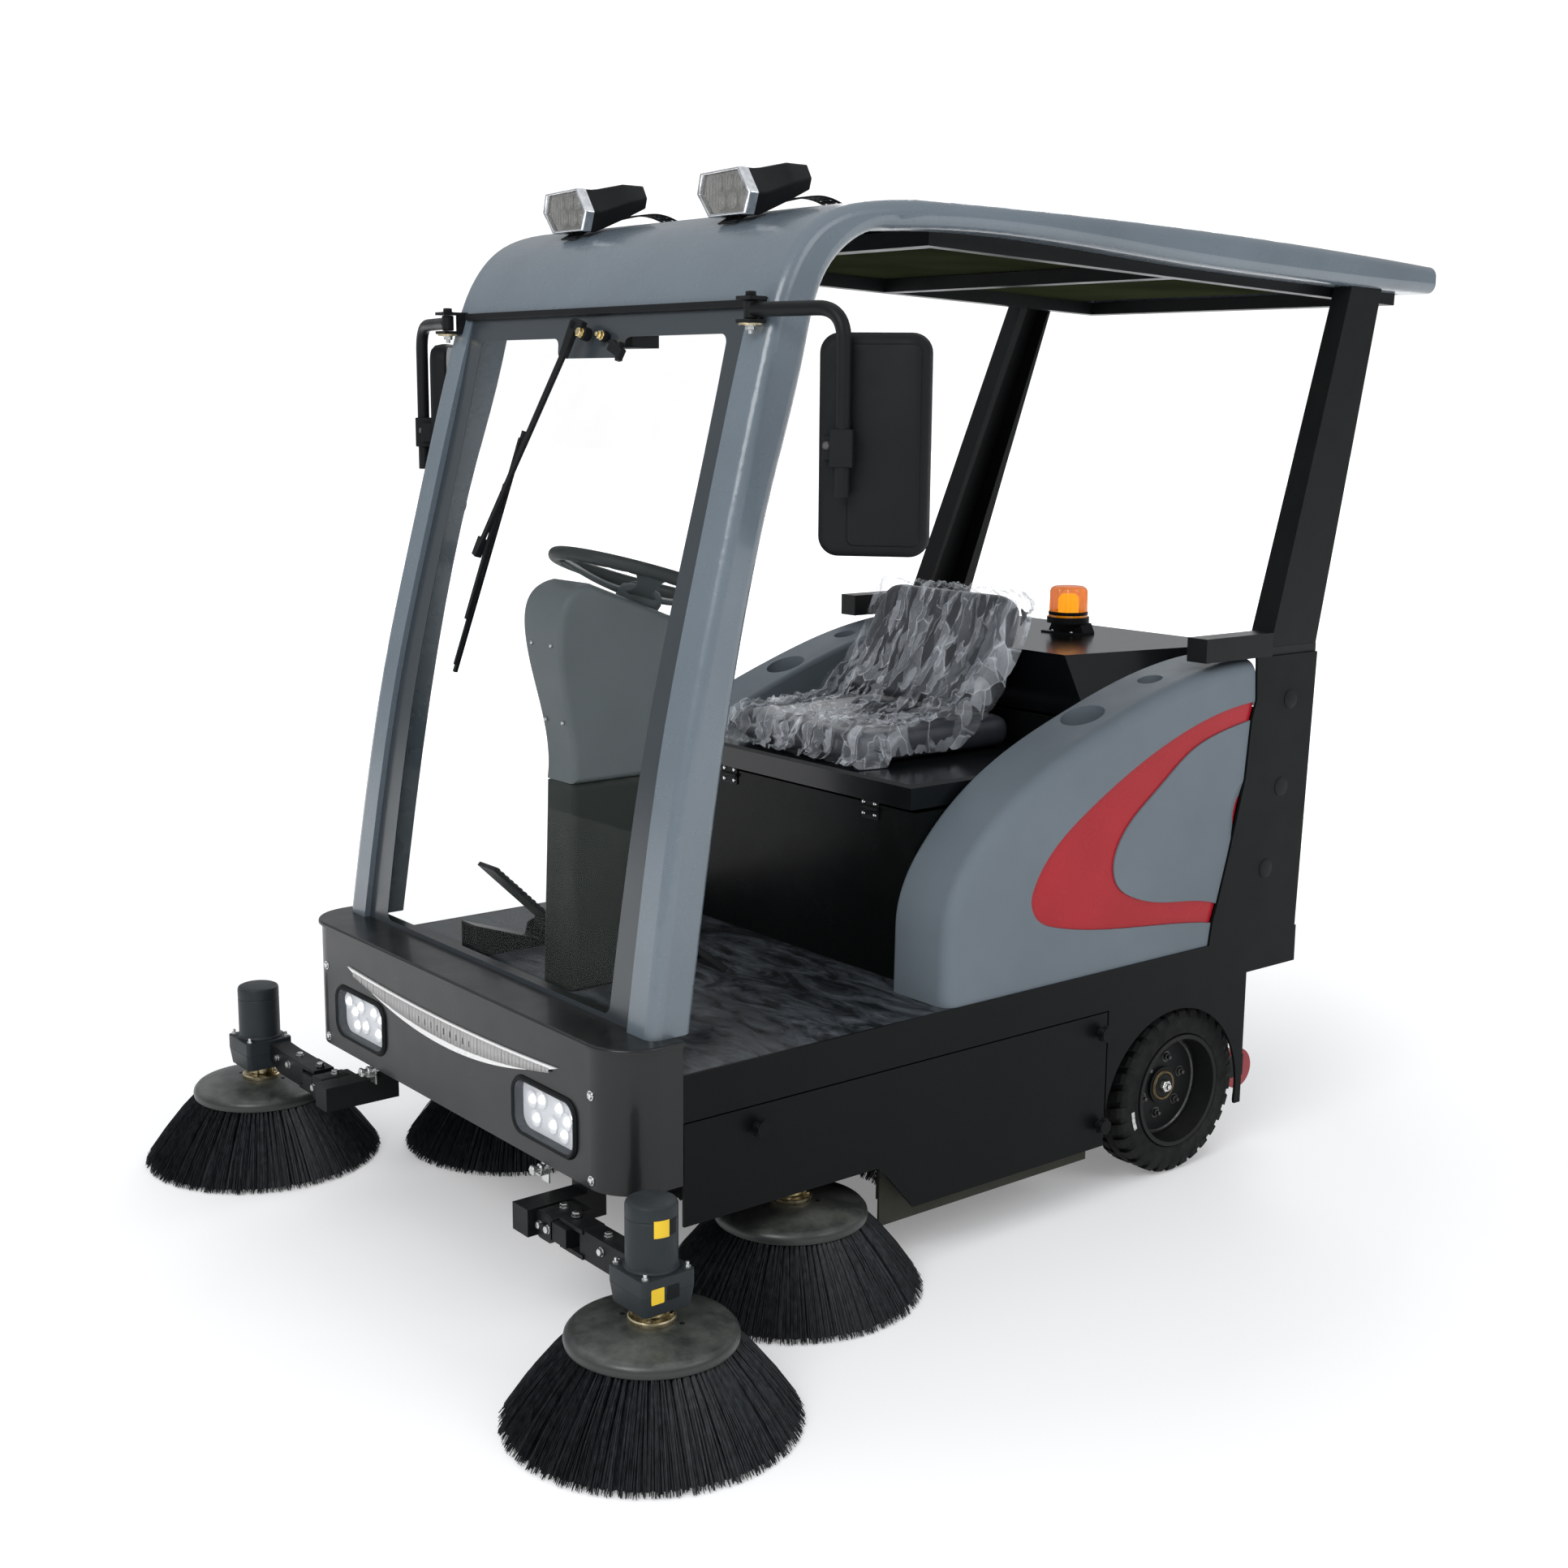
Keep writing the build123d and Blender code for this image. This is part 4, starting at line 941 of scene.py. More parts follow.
def seat_back():
    """Backrest: narrower at its top, dished and sewn in front, and trimmed level at its foot."""
    bm = bmesh.new()
    soft_block(bm, (424, 74, 262), 33, 18)
    for vert in bm.verts:
        x, y, z = vert.co
        across = min(1.0, abs(x) / 212)
        if y < 0:
            dish = 12 * (1 - across ** 2.2) * max(0, 1 - (abs(z) / 131) ** 4)
            seam = 5 * math.exp(-((abs(x) - 118) / 7) ** 2) * max(0, 1 - (abs(z) / 128) ** 8)
            vert.co.y += dish + seam
        if z > 0:
            vert.co.x *= 1 - 0.10 * (z / 131) ** 2
    for vert in bm.verts:
        vert.co = lean(vert.co)
        vert.co.z = max(vert.co.z, 987)
    pad = piece("seat_back.pad", bm, "seat", "vinyl", subdivide=1, angle=180,
                stands_for="seat_back")


FILM_SEED = 5
FILM_HALF = 224
FILM_TURN = 0.86
FILM_ON_BACK = 0.52


def film_path():
    """Middle line of the film: up behind the backrest, down its front and over the cushion."""
    up = Vector((0, math.sin(BACKREST_LEAN), math.cos(BACKREST_LEAN)))
    out = Vector((0, -math.cos(BACKREST_LEAN), math.sin(BACKREST_LEAN)))
    on_back = ((40, -42), (131, -40), (137, -12), (136, 26), (118, 41), (20, 38), (-60, 47))
    on_cushion = ((120, 999), (60, 986), (-30, 981), (-110, 984), (-133, 966), (-137, 925), (-156, 909))
    return ([BACKREST_CENTRE + up * rise + out * reach for rise, reach in on_back]
            + [Vector((0, y, z)) for y, z in on_cushion])


def film_cover():
    """Loose clear film: down over the backrest in long folds, then across the cushion to its hem."""
    noise.seed_set(FILM_SEED)
    columns, rows = 110, 190
    path = film_path()
    lengths = [0]
    for a, b in zip(path, path[1:]):
        lengths.append(lengths[-1] + (b - a).length)

    def along(t):
        """Place and direction at a share of the path's length."""
        want = t * lengths[-1]
        k = max(i for i in range(len(path) - 1) if lengths[i] <= want + 1e-6)
        f = min(1.0, (want - lengths[k]) / (lengths[k + 1] - lengths[k]))
        return path[k].lerp(path[k + 1], f), (path[k + 1] - path[k]).normalized()

    def ridge(place):
        """Noise folded over, so that it peaks in sharp crests."""
        return 1 - abs(noise.noise(place)) * 2

    def folds(x, t, on_back):
        """How far the film stands off the seat: long folds on the back, crumples on the base."""
        spot = Vector((x * 0.011, t * 9.0, 0))
        long_folds = ridge(Vector((x * 0.030 + 0.8 * noise.noise(spot * 0.7), t * 2.4, 3.0))) ** 3
        crumple = ridge(Vector((x * 0.026, t * 21.0, 7.5)) + 0.6 * noise.noise_vector(spot * 1.7)) ** 2
        fine = ridge(Vector((x * 0.07, t * 52.0, 1.5)) + noise.noise_vector(spot * 3)) ** 2
        lift = on_back * (10 * long_folds + 3 * crumple) + (1 - on_back) * (12 * crumple + 4 * long_folds)
        return lift + 1.5 * fine + 2.0

    bm = bmesh.new()
    grid = []
    for i in range(rows + 1):
        t = i / rows
        point, run = along(t)
        for step in (-0.03, -0.015, 0.015, 0.03):
            run += along(min(1, max(0, t + step)))[1]
        run.normalize()
        normal = Vector((0, run.z, -run.y))
        on_back = max(0.0, min(1.0, (FILM_ON_BACK - t) / 0.08))
        line = []
        for j in range(columns + 1):
            u = 2 * j / columns - 1
            wrap = max(0, abs(u) - FILM_TURN) / (1 - FILM_TURN)
            flat_part = (FILM_HALF - 12 * on_back) * min(abs(u), FILM_TURN) / FILM_TURN * 0.985
            x = math.copysign(flat_part + 22 * wrap ** 0.6, u)
            dish = 8 * (1 - (x / 222) ** 2) * (1 - on_back) * (1.0 if t < 0.86 else 0.0)
            hang = (68 + 14 * noise.noise(Vector((9 * t, u, 5)))) * wrap ** 1.5
            place = point + normal * (folds(x, t, on_back) - 3.0 - dish) - normal * hang
            line.append(bm.verts.new(Vector((x, place.y, max(907.0, place.z)))))
        grid.append(line)
    for i in range(rows):
        for j in range(columns):
            bm.faces.new((grid[i][j], grid[i][j + 1], grid[i + 1][j + 1], grid[i + 1][j]))
    film_sheet = piece("seat_film.sheet", bm, "seat", "film", angle=180)


# --- lights ---------------------------------------------------------------------------------------
def headlight(label, side):
    """Bezel, reflector with its lit domes, and the clear front, in the bumper's opening."""
    x, z = side * HEADLIGHT[0], HEADLIGHT[1]
    bm = bmesh.new()
    loops = [[bm.verts.new((x + px, depth, z + pz)) for px, pz in rounded_outline(*size, 10)]
             for size, depth in (((213, 113, 34), -950), ((213, 113, 34), -974), ((206, 106, 31), -978.5),
                                 ((196, 96, 27), -977), ((196, 96, 27), -955))]
    bridge(bm, loops)
    piece(f"headlight_{label}.bezel", bm, "chassis", "black_plastic",
          stands_for="headlight_lenses")
    bm = bmesh.new()
    domes = [(-30, 19), (26, 19), (-62, 12), (-49, -20), (52, 2), (6, -17), (43, -24), (78, 18)]
    prism(bm, rounded_outline(195, 95, 26, 8), facing((x, -952, z), FRONT), 4)
    for dx, dz in domes:
        lathe(bm, (x + side * dx, -955.5, z + dz), FRONT, [(16, 0), (16.5, 5), (15, 5), (9, 1.5), (0, 1)],
              32)
    # Plate and cups take the reflector look, whose pale tone and faint glow are painted reflection.
    piece(f"headlight_{label}.reflector", bm, "chassis", "reflector")
    bm = bmesh.new()
    for dx, dz in domes:
        lathe(bm, (x + side * dx, -956, z + dz), FRONT,
              [(0, 8.5), (4, 7.8), (6.6, 5.5), (8, 3), (8.4, 0)], 24)
    piece(f"headlight_{label}.domes", bm, "chassis", "led")
    bm = bmesh.new()
    outline = rounded_outline(196, 96, 27, 10)
    loops = [[bm.verts.new((x + px * scale, depth, z + pz * scale)) for px, pz in outline]
             for scale, depth in ((1, -975), (0.96, -977.2), (0.85, -978.2), (0.5, -978.8))]
    bridge(bm, loops)
    bm.faces.new(loops[-1])
    piece(f"headlight_{label}.lens", bm, "chassis", "lens")


LAMP_PLACE = Vector((263, -521, 2004))
LAMP_HEXAGON = [(-80, 0), (-70, 36), (48, 40), (80, -6), (66, -43), (-45, -43)]


def roof_lamp(label, side):
    """Work lamp: chrome hexagon, ribbed lens over reflector cups, tapering black body."""
    def loop(bm, scale, depth, rise=0.0, scale_z=None):
        """The lamp's outline, scaled and set back."""
        return [bm.verts.new((side * LAMP_PLACE.x + px * scale, LAMP_PLACE.y + depth,
                              LAMP_PLACE.z + pz * (scale_z or scale) + rise)) for px, pz in LAMP_HEXAGON]

    bm = bmesh.new()
    bridge(bm, [loop(bm, scale, depth)
                for scale, depth in ((0.86, 7), (0.89, 0.5), (0.97, 0.5), (1.0, 4), (1.0, 21))])
    piece(f"roof_lamp_{label}.ring", bm, "chassis", "chrome", bevel=1.2,
          stands_for="roof_lamps")
    bm = bmesh.new()
    loops = [loop(bm, 0.985, 20), loop(bm, 0.985, 36), loop(bm, 0.94, 52, 4), loop(bm, 0.71, 120, 24, 0.80),
             loop(bm, 0.45, 178, 36, 0.54)]
    bridge(bm, loops)
    bm.faces.new(loops[-1])
    piece(f"roof_lamp_{label}.body", bm, "chassis", "black_plastic", bevel=2.2)
    bm = bmesh.new()
    loops = [loop(bm, 0.87, 12), loop(bm, 0.55, 34), loop(bm, 0.2, 38)]
    bridge(bm, loops)
    bm.faces.new(loops[-1])
    for dx, dz in ((-38, 16), (-6, 18), (28, 16), (-26, -14), (8, -15), (42, -16)):
        spot = Vector((side * LAMP_PLACE.x + dx, LAMP_PLACE.y + 26, LAMP_PLACE.z + dz))
        lathe(bm, spot, FRONT, [(14, 9), (15, 9.5), (12, 3), (5, -3), (0, -3)], 24)
    piece(f"roof_lamp_{label}.cups", bm, "chassis", "lamp_reflector")
    bm = bmesh.new()
    loops = [loop(bm, 0.88, 7), loop(bm, 0.86, 4.5)]
    bridge(bm, loops)
    bm.faces.new(loops[-1])
    for k in range(-6, 7):
        half = 31 - abs(k) * 1.6
        box(bm, (side * LAMP_PLACE.x + k * 9 - 1.0, LAMP_PLACE.y + 3.6, LAMP_PLACE.z - half),
            (side * LAMP_PLACE.x + k * 9 + 1.0, LAMP_PLACE.y + 5.6, LAMP_PLACE.z + half))
    piece(f"roof_lamp_{label}.lens", bm, "chassis", "lamp_lens")


def beacon():
    """Ribbed amber dome, lit inside, on a dark collar."""
    bm = bmesh.new()
    steps = 96
    profile = [(45.5, 1146), (45.5, 1150), (44.5, 1152), (43.5, 1206), (41, 1212), (34, 1216.5), (18, 1218),
               (0, 1218.5)]
    rings = lathe(bm, (0, BEACON_Y, 0), UP, profile, steps)
    for ring in rings[2:5]:
        for i, vert in enumerate(ring):
            if i % 4 < 2:
                away = Vector((vert.co.x, vert.co.y - BEACON_Y, 0))
                vert.co -= away * 0.035
    piece("beacon_dome.shell", bm, "hood", "amber", angle=25, stands_for="beacon_dome")
    bm = bmesh.new()
    lathe(bm, (0, BEACON_Y, 0), UP, [(0, 1148), (20, 1148), (24, 1156), (24, 1188), (17, 1198),
                                            (0, 1200)], 32)
    piece("beacon_dome.light", bm, "hood", "amber_glow")
    bm = bmesh.new()
    for k in range(4):
        a = math.tau * (k + 0.5) / 4
        pan_screw(bm, (46 * math.cos(a) * 0.9, BEACON_Y + 26 * math.sin(a), 1111.5), UP, 4)
    piece("beacon_base.screws", bm, "hood", "zinc")
    bm = bmesh.new()
    lathe(bm, (0, BEACON_Y, 0), UP, [(44.9, 1150.5), (45.8, 1152), (45.8, 1157), (44.4, 1158.5)], 96)
    piece("beacon_dome.band", bm, "hood", "black_plastic")


# --- cab fittings ---------------------------------------------------------------------------------
def mirror_head(bm, turned, stack, shift=0.0):
    """A closed stack of round-cornered plates, each (width, height, corner radius, depth)."""
    loops = [[bm.verts.new(turned @ Vector((px + shift, pz, depth)))
              for px, pz in rounded_outline(width, height, radius, 8)]
             for width, height, radius, depth in stack]
    bridge(bm, loops)
    bm.faces.new(loops[0])


def mirror(label, side):
    """Bent arm, pivot hardware, and the head with its raised back, housing the glass."""
    body = f"mirror_{label}"
    x, y = side * MIRROR_PIVOT.x, MIRROR_PIVOT.y
    bend = 55
    along = (MIRROR_CORNER - MIRROR_PIVOT).normalized()
    start, end = MIRROR_CORNER - along * bend, MIRROR_CORNER - Vector((0, 0, bend))
    points = [MIRROR_PIVOT + along * 6]
    for k in range(13):
        t = k / 12
        points.append((1 - t) ** 2 * start + 2 * t * (1 - t) * MIRROR_CORNER + t ** 2 * end)
    points.append(MIRROR_FOOT)
    bm = bmesh.new()
    tube(bm, flipped(points, side), 12.5, 24)
    cylinder(bm, (x, y, 1772), UP, 12, 30, 24)
    piece(f"{body}.arm", bm, body, "black_steel", stands_for=body)
    turn = Matrix.Rotation(MIRROR_TURN, 4, "Z")
    upright = Matrix.Translation((712, -543, 1566)) @ turn @ Matrix.Rotation(math.radians(90), 4, "X")
    bm = bmesh.new()
    mirror_head(bm, upright, [
        (150, 330, 24, 17), (166, 346, 28, 15), (180, 360, 31, 7), (186, 366, 33, -8),
        (186, 366, 33, -19), (178, 358, 30, -22), (172, 352, 27, -22), (172, 352, 27, -17)])
    mirror_head(bm, upright, [(112, 318, 10, 21.5), (118, 326, 12, 20), (122, 330, 13, 15)], 18)
    to_side(bm, side)
    piece(f"{body}.head", bm, body, "black_plastic", bevel=1.0)
    bm = bmesh.new()
    bm.faces.new([bm.verts.new(upright @ Vector((px, pz, -18)))
                  for px, pz in rounded_outline(172, 352, 27, 8)])
    to_side(bm, side)
    piece(f"{body}.glass", bm, body, "mirror")
    bm = bmesh.new()
    clamp = Matrix.Translation((MIRROR_FOOT.x, MIRROR_FOOT.y, 1562)) @ turn
    box(bm, (-20, -14, -31), (18, 32, 31), clamp)
    box(bm, (-34, 2, -20), (-19, 30, 20), clamp)
    to_side(bm, side)
    piece(f"{body}.clamp", bm, body, "black_plastic", bevel=2)
    bm = bmesh.new()
    place, axis = flipped([clamp @ Vector((-27, 2, 4)), clamp.to_3x3() @ Vector(FRONT)], side)
    hex_bolt(bm, place, axis, 6)
    piece(f"{body}.clamp_bolt", bm, body, "dark_bolt")
    bm = bmesh.new()
    hex_bolt(bm, (x, y, 1809), UP, 9)
    piece(f"{body}.pivot_bolt", bm, "chassis", "black_steel")
    bm = bmesh.new()
    cylinder(bm, (x, y, 1765), DOWN, 21, 3.5, 32)
    piece(f"{body}.pivot_washer", bm, "chassis", "gold_zinc")
    bm = bmesh.new()
    hex_bolt(bm, (x, y, 1761.5), DOWN, 9)
    cylinder(bm, (x, y, 1760), DOWN, 4.5, 13, 14)
    piece(f"{body}.pivot_nut", bm, "chassis", "zinc")


def steering_wheel():
    """Gripped rim, three broad spokes that drop to the boss, and a domed cap."""
    turn = Matrix.Rotation(-STEER_TILT, 4, "X")
    place = Matrix.Translation(STEER_CENTRE) @ turn
    bm = bmesh.new()
    steps, section = 120, 20
    rings = []
    for i in range(steps):
        a = math.tau * i / steps
        finger = 0.9 * max(0, math.sin(a * 30))
        ring = []
        for k in range(section):
            b = math.tau * k / section
            r = 13.6 - (finger if math.cos(b) < 0.2 and math.sin(b) < 0.3 else 0)
            out = 178 + r * math.cos(b)
            spot = Vector((out * math.cos(a), out * math.sin(a), r * math.sin(b)))
            ring.append(bm.verts.new(place @ spot))
        rings.append(ring)
    bridge(bm, rings + rings[:1])
    piece("steering_wheel.rim", bm, "steering", "grip", angle=60,
          stands_for="steering_wheel")
    bm = bmesh.new()
    for angle in (90, 210, 330):
        spin = place @ Matrix.Rotation(math.radians(angle), 4, "Z")
        rows = []
        for k in range(11):
            t = k / 10
            out = 26 + (172 - 26) * t
            height = -34 + 33 * t ** 1.6
            width = 34 - 15 * math.sin(math.pi * t) ** 0.8 + 6 * t ** 6
            thick = 7 - 1.5 * t
            row = []
            for wx, wz in ((-1, -0.4), (-0.8, -1), (0.8, -1), (1, -0.4), (1, 0.4), (0.7, 1), (-0.7, 1),
                           (-1, 0.4)):
                row.append(bm.verts.new(spin @ Vector((out, wx * width, height + wz * thick))))
            rows.append(row)
        bridge(bm, rows)
        bm.faces.new(rows[0])
        bm.faces.new(list(reversed(rows[-1])))
    axis = turn.to_3x3() @ Vector((0, 0, 1))
    lathe(bm, STEER_CENTRE, axis, [(0, -14), (22, -15), (37, -20), (44, -30), (46, -44), (41, -58),
                                   (28, -70), (22, -96), (19, -132), (17, -150), (16, -240), (0, -240)], 48)
    piece("steering_wheel.hub", bm, "steering", "fairing", bevel=0.8, angle=50)
    bm = bmesh.new()
    lathe(bm, STEER_CENTRE, axis, [(0, -9), (16, -10), (23, -13), (25, -17), (25, -20)], 40)
    piece("steering_wheel.cap", bm, "steering", "motor_cast")


WIPER_PIVOT = Vector((-6, -626, 1753))
WIPER_AXIS = Vector((0, -0.970, 0.243)).normalized()


def wiper():
    """Arm with its hooked head, twin-bow blade and rubber lip, and the link shaft beside the pivot."""
    normal = WIPER_AXIS
    across = Vector((1, 0, 0))
    rise = normal.cross(across)

    def at(u, v, h):
        """Across, up the glass and off the glass from the pivot."""
        return WIPER_PIVOT + across * u + rise * v + normal * h

    def bar(bm, start, end, width, low, high, taper=1.0):
        """Flat bar between two places on the glass, from one height off it to another."""
        run = Vector((end[0] - start[0], end[1] - start[1], 0)).normalized()
        side = Vector((-run.y, run.x, 0))
        corners = []
        for (u, v), w in ((start, width), (end, width * taper)):
            for s in (-1, 1):
                for h in (low, high):
                    corners.append(bm.verts.new(at(u + side.x * w / 2 * s, v + side.y * w / 2 * s, h)))
        for face in BOX_FACES:
            bm.faces.new([corners[i] for i in face])

    bm = bmesh.new()
    cylinder(bm, at(0, 0, 5), normal, 13, 19, 24)
    bar(bm, (4, 8), (-31, 19), 24, 18, 30, 0.9)
    bar(bm, (-24, 22), (-44, -46), 26, 19, 30, 0.72)
    bar(bm, (-40, -34), (-212, -423), 16, 22, 29, 0.7)
    bar(bm, (-208, -404), (-222, -440), 20, 15, 30, 0.8)
    piece("wiper_arm.arm", bm, "wiper", "black_plastic", bevel=1.4,
          stands_for="wiper_arm")
    bm = bmesh.new()
    spine = ((-153, -187), (-235, -672))

    def on_blade(t):
        """Place at a share of the blade's length."""
        return tuple(a + (b - a) * t for a, b in zip(*spine))

    bar(bm, on_blade(0.22), on_blade(0.78), 9, 17, 22.5)
    for low, high in ((0.03, 0.28), (0.36, 0.56), (0.6, 0.76), (0.72, 0.97)):
        bar(bm, on_blade(low), on_blade(high), 6, 14, 18.5)
    bar(bm, spine[0], spine[1], 9, 12, 14.5)
    bar(bm, spine[0], spine[1], 3, 6, 12.5)
    piece("wiper_arm.blade", bm, "wiper", "black_plastic", bevel=0.5)
    bm = bmesh.new()
    hex_bolt(bm, at(0, 0, 24), normal, 9)
    piece("wiper_arm.nut", bm, "wiper", "brass")
    bm = bmesh.new()
    cylinder(bm, at(53, -3, 0.5), normal, 11, 12, 24)
    bar(bm, (84, -20), (126, -38), 22, 1, 13, 0.8)
    bar(bm, (112, -16), (118, -50), 12, 1, 12, 0.9)
    piece("wiper_link", bm, "chassis", "black_plastic", bevel=1.0)
    bm = bmesh.new()
    hex_bolt(bm, at(53, -3, 12), normal, 8)
    cylinder(bm, at(53, -3, 17), normal, 4, 8, 14)
    piece("wiper_link.nut", bm, "chassis", "brass")


STRAP = [(-512, 1947), (-470, 1967), (-400, 1990), (-330, 2004), (-290, 2003), (-250, 1991)]


def lamp_strap(label, side):
    """Punched strap arched over the roof that carries a roof lamp."""
    bm = bmesh.new()
    x = side * LAMP_PLACE.x
    rows, columns = 80, 9
    total = len(STRAP) - 1
    grid = []
    for i in range(rows + 1):
        t = total * i / rows
        k = min(int(t), total - 1)
        f = t - k
        before, start, end, after = (STRAP[max(0, k - 1)], STRAP[k], STRAP[k + 1], STRAP[min(total, k + 2)])
        y, z = (0.5 * (2 * start[c] + (end[c] - before[c]) * f
                       + (2 * before[c] - 5 * start[c] + 4 * end[c] - after[c]) * f ** 2
                       + (3 * start[c] - before[c] - 3 * end[c] + after[c]) * f ** 3) for c in (0, 1))
        grid.append([bm.verts.new((x + 26 * (2 * j / columns - 1), y, z + 3.6))
                     for j in range(columns + 1)])
    for i in range(rows):
        for j in range(columns):
            if i % 5 in (1, 2, 3) and j in (1, 2, 4, 6, 7):
                continue
            bm.faces.new((grid[i][j], grid[i][j + 1], grid[i + 1][j + 1], grid[i + 1][j]))
    box(bm, (x - 12, LAMP_PLACE.y + 75, 1982), (x + 12, LAMP_PLACE.y + 89, 2000))
    strap = piece(f"lamp_strap_{label}", bm, "chassis", "black_steel",
                  stands_for="lamp_brackets")
    thicken(strap, 3)


# --- body trim and hardware -----------------------------------------------------------------------
def star_knobs(label, side):
    """Five-lobed hand knobs on the side door."""
    for number, (y, z) in enumerate(((-679, 378), (206, 377), (210, 179))):
        bm = bmesh.new()
        loop = []
        for k in range(60):
            a = math.tau * k / 60
            r = 15.5 + 2.6 * math.cos(5 * a)
            loop.append((r * math.cos(a), r * math.sin(a)))
        prism(bm, loop, facing((side * 592, y, z), (side, 0, 0)), 12)
        cylinder(bm, (side * 582, y, z), (side, 0, 0), 10, 12, 20)
        piece(f"side_knob_{label}_{number}", bm, f"panel_{label}", "black_plastic",
              bevel=2.5, angle=50)


def bumper_hardware():
    """Screws, and the stop brackets under the bumper."""
    bm = bmesh.new()
    for side, _ in SIDES:
        for z in (474, 321):
            cylinder(bm, (side * 499, BUMPER_FRONT + 0.5, z), FRONT, 9, 1.6, 20)
            pan_screw(bm, (side * 499, BUMPER_FRONT - 1.2, z), FRONT, 6.5)
    piece("bumper_screws", bm, "chassis", "zinc")
    bm = bmesh.new()
    for side, _ in SIDES:
        box(bm, (side * 330 - 12, -960, 262), (side * 330 + 12, -957, 308))
        box(bm, (side * 330 - 12, -978, 280), (side * 330 + 12, -957, 283))
        tube(bm, [(side * 330, -935, 290), (side * 330, -988, 290)], 5.5, 14)
        for y in (-966, -982):
            hex_bolt(bm, (side * 330, y, 290), FRONT, 9.5, False)
    piece("stop_bolts", bm, "chassis", "zinc", bevel=0.4)


def bumper_trim_inlay():
    """Grey field with fine upright ticks set in the silver bumper strip."""
    def edge(x, rise, low):
        """Height of the strip's bowed edge, lowest in the middle."""
        return low - rise * (1 - (x / 398) ** 2)

    bm = bmesh.new()
    count = 60
    for i in range(count):
        x0, x1 = (-372 + 744 * k / count for k in (i, i + 1))
        corners = []
        for x, rise, low in ((x0, 12, 490), (x1, 12, 490), (x1, 44, 486), (x0, 44, 486)):
            corners.append(bm.verts.new((x, BUMPER_FRONT - 4.4, edge(x, rise, low))))
        bm.faces.new(corners)
    field = piece("bumper_trim.inlay", bm, "chassis", "trim_inlay")
    thicken(field, 0.5)
    bm = bmesh.new()
    for i in range(9):
        x = -96 + 24 * i
        box(bm, (x - 1.6, BUMPER_FRONT - 5.2, 454), (x + 1.6, BUMPER_FRONT - 4.2, 466))
    piece("bumper_trim.ticks", bm, "chassis", "dark_bolt")


def seat_box_hardware():
    """Butterfly hinges and the latch on the front of the seat box."""
    bm = bmesh.new()
    for x in LID_HINGES:
        for dz in (-10, 13):
            prism(bm, rounded_outline(52, 20, 6, 5), facing((x, -166.5, 838 + dz), FRONT), 2.4)
        cylinder(bm, (x - 26, -170, 839.5), (1, 0, 0), 4, 52, 14)
    piece("lid_hinges", bm, "chassis", "black_steel", bevel=0.5)
    bm = bmesh.new()
    for x in LID_HINGES:
        for dx in (-17, 17):
            for dz in (-10, 13):
                pan_screw(bm, (x + dx, -169.5, 838 + dz), FRONT, 4.4)
    for dx in (-19, 19):
        pan_screw(bm, (LID_LATCH + dx, -170.5, 787), FRONT, 3.6)
    piece("lid_hinge_screws", bm, "chassis", "chrome")
    bm = bmesh.new()
    prism(bm, rounded_outline(52, 20, 4, 5), facing((LID_LATCH, -169, 787), FRONT), 2.0)
    box(bm, (LID_LATCH - 10, -173, 783), (LID_LATCH + 10, -170, 791))
    piece("lid_latch", bm, "chassis", "black_plastic", bevel=0.6)


def visor_edge_strip():
    """Black strip along the visor's lower edge, just above the windshield."""
    bm = bmesh.new()
    prism(bm, rounded_outline(964, 13, 5), facing((0, -612, 1797), (0, -0.97, 0.243)), 12)
    piece("visor_edge_strip", bm, "chassis", "black_plastic", bevel=1)


def column_hardware():
    """Screws down the front of the steering column cover."""
    bm = bmesh.new()
    for z, x in ((1180, 34), (1030, 30)):
        for sx in (-1, 1):
            y = -749.5 if z > 1100 else -723
            pan_screw(bm, (sx * x, y, z), FRONT, 4.2)
    piece("column_screws", bm, "chassis", "zinc")


def rear_plugs():
    """Round blanking plugs on the machine's rear corners."""
    bm = bmesh.new()
    for side, _ in SIDES:
        for y, z in ((771, 1015), (754, 825), (716, 648)):
            lathe(bm, (side * HALF_WIDTH, y, z), (side, 0, 0),
                  [(0, 2.4), (17, 2.4), (21, 1.4), (22, -1), (0, -1)], 40)
    piece("rear_plugs", bm, "chassis", "black_plastic")


def cup_liners():
    """Rims and floors that finish the cup holders and the accessory sockets."""
    bm = bmesh.new()
    for side, _ in SIDES:
        lathe(bm, (side * 482, 229, 928), UP, [(0, 1), (38, 1), (42, 3), (44, 8), (44, 14)], 48)
        lathe(bm, (side * 490, 420, 1006), UP, [(0, 1), (22, 1), (25, 5), (25, 12)], 32)
    piece("cup_floors", bm, "chassis", "black_plastic")


def lift_arm(label, side):
    """Square sleeve on the level pin, with its plate and bolts."""
    name = f"lift_arm_{label}"
    x, z = side * LIFT_PIN[0], LIFT_PIN[1]
    bm = bmesh.new()
    end = Matrix.Translation((x, -1031, z)) @ Matrix.Rotation(math.radians(-90), 4, "X")
    prism(bm, rounded_outline(51, 51, 11, 6), end, 64)
    prism(bm, rounded_outline(44, 44, 9, 6), end @ Matrix.Translation((0, 0, -0.8)), 1)
    low, high = sorted((side * 452, side * 509))
    box(bm, (low, -1031, 216), (high, -967, 250))
    piece(f"{name}.sleeve", bm, f"lift_{label}", "black_steel", bevel=1.5, stands_for=name)
    bm = bmesh.new()
    for dx in (-13, 13):
        hex_bolt(bm, (x + dx, -1032, z), FRONT, 7)
    hex_bolt(bm, (x, -990, 258.5), UP, 8)
    piece(f"{name}.bolts", bm, f"lift_{label}", "zinc")


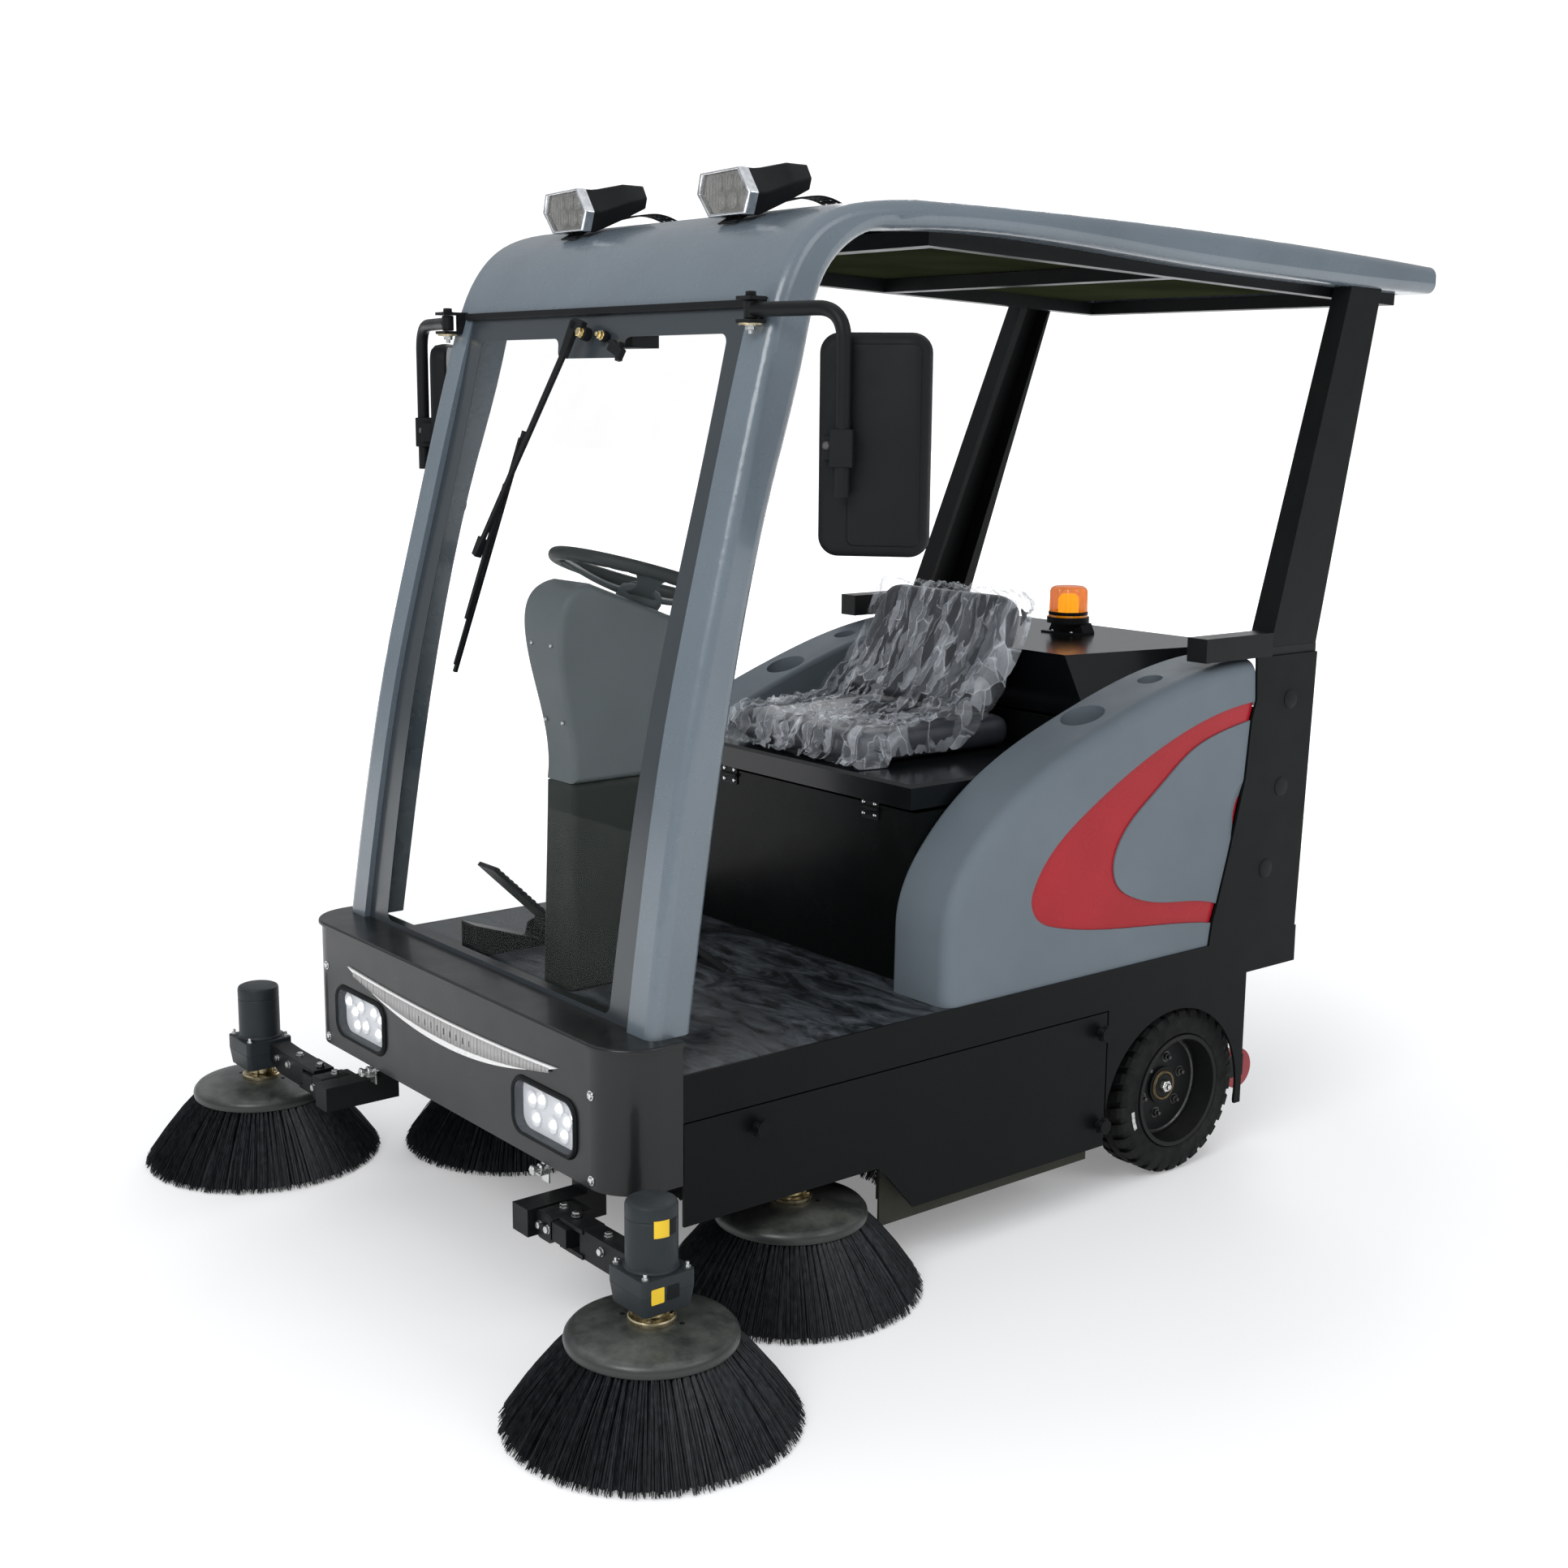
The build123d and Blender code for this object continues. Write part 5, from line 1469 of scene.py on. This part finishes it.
def swing_arm(label, side):
    """Two cheeks on the upright pin, and the beam that reaches out to the gearbox."""
    name = f"swing_arm_{label}"
    x, y = side * SWING_PIN[0], SWING_PIN[1]
    bm = bmesh.new()
    cheek = [(side * px, py) for px, py in ((474, -1022), (474, -976), (546, -976), (546, -1022))]
    for low, high in ((206, 214.5), (251.5, 260)):
        prism(bm, cheek, Matrix.Translation((0, 0, low)), high - low)
    beam = [(533, 207), (533, 259), (628, 259), (692, 262), (692, 224), (650, 207)]
    near, far = [[bm.verts.new((side * px, py, pz)) for px, pz in beam] for py in (-1019, -977)]
    bm.faces.new(near)
    bm.faces.new(list(reversed(far)))
    bridge(bm, (near, far))
    cylinder(bm, (x, y, 206), UP, 8, 60, 20)
    piece(f"{name}.fork", bm, f"swing_{label}", "black_steel", bevel=1.5, stands_for=name)
    bm = bmesh.new()
    hex_bolt(bm, (x, y, 262), UP, 8)
    for bolt_x in (600, 655):
        hex_bolt(bm, (side * bolt_x, -1019, 240), FRONT, 7)
    hex_bolt(bm, (side * 590, y, 259), UP, 7)
    piece(f"{name}.bolts", bm, f"swing_{label}", "zinc")


def pedal_pads():
    """Ribbed rubber on both pedals."""
    tilt = Matrix.Rotation(math.radians(-38), 4, "X")
    treadle = (Matrix.Translation((-300, -570, 541)) @ Matrix.Rotation(math.radians(-43.6), 4, "X")
               @ Matrix.Translation((0, -96, 17.5)))
    bm = bmesh.new()
    for k in range(13):
        y = -88 + 14.5 * k
        box(bm, (-29, y - 4, -0.5), (29, y + 4, 3), treadle)
    piece("accelerator_pedal.ribs", bm, "accelerator", "black_plastic", bevel=0.8)
    pad = Matrix.Translation((300, -596, DECK_TOP + 108)) @ tilt @ Matrix.Translation((0, 0, 5))
    bm = bmesh.new()
    for k in range(7):
        y = -36 + 12 * k
        box(bm, (-36, y - 3.5, 0), (36, y + 3.5, 3), pad)
    piece("brake_pedal.ribs", bm, "brake", "black_plastic", bevel=0.8)


# --- assembly -------------------------------------------------------------------------------------
NODE_MATERIALS = {
    "side_black": ["side_skirts", "side_panel_left", "side_panel_right", "rear_body"],
    "bumper_black": ["front_bumper"],
    "black_steel": ["chassis_frame", "front_fork", "canopy_subframe", "lift_arm_left", "lift_arm_right",
                    "swing_arm_left", "swing_arm_right", "dust_bin", "mirror_brackets", "lamp_brackets",
                    "pedal_bases", "rear_pillars", "accelerator_pedal", "brake_pedal"],
    "box_black": ["seat_box"],
    "gloss_black_steel": ["seat_lid", "rear_hood"],
    "black_plastic": ["battery_pack", "beacon_base", "wiper_motor"],
    "deck_steel": ["deck_plate"],
    "trim_silver": ["bumper_trim"],
    "flap_rubber": ["dust_flaps"],
    "grey_moulding": ["canopy_shell"],
    "fender_plastic": ["fenders"],
    "column_plastic": ["column_cover"],
    "column_dark": ["column_base"],
    "liner": ["roof_liner"],
    "band": ["windshield_border"],
    "glass": ["windshield_glass"],
    "rim_steel": ["front_rim", "rear_rim_left", "rear_rim_right"],
    "red_wheel": ["caster_wheel_left", "caster_wheel_right"],
}

make_camera()
make_stage()
MATERIALS = make_materials()

for material_name, node_names in NODE_MATERIALS.items():
    for node_name in node_names:
        mesh = nodes[node_name].data
        mesh.materials.clear()
        mesh.materials.append(MATERIALS[material_name])

for side, label in SIDES:
    side_brush(f"front_brush_{label}", side * FRONT_BRUSH[0], FRONT_BRUSH[1], 20 + side)
    side_brush(f"mid_brush_{label}", side * MID_BRUSH[0], MID_BRUSH[1], 30 + side)
    gear_motor(f"front_motor_{label}", side * FRONT_BRUSH[0], FRONT_BRUSH[1], f"swing_{label}",
               f"front_gear_motor_{label}")
    gear_motor(f"mid_motor_{label}", side * MID_BRUSH[0], MID_BRUSH[1], "chassis", "mid_gear_motors")
    hub = (side * REAR_WHEEL[0], REAR_WHEEL[1], REAR_WHEEL[2])
    tyre(f"rear_tyre_{label}", hub, f"rear_wheel_{label}")
    rim_detail(f"rear_rim_{label}", hub, f"rear_wheel_{label}", side)
    headlight(label, side)
    roof_lamp(label, side)
    lamp_strap(label, side)
    mirror(label, side)
    star_knobs(label, side)
tyre("front_tyre", FRONT_WHEEL, "front_wheel")
rim_detail("front_rim", FRONT_WHEEL, "front_wheel", 1)
roller_brush()
seat_cushion()
seat_back()
film_cover()
beacon()
steering_wheel()
wiper()
bumper_hardware()
bumper_trim_inlay()
seat_box_hardware()
visor_edge_strip()
column_hardware()
rear_plugs()
cup_liners()
for side, label in SIDES:
    lift_arm(label, side)
    swing_arm(label, side)
pedal_pads()
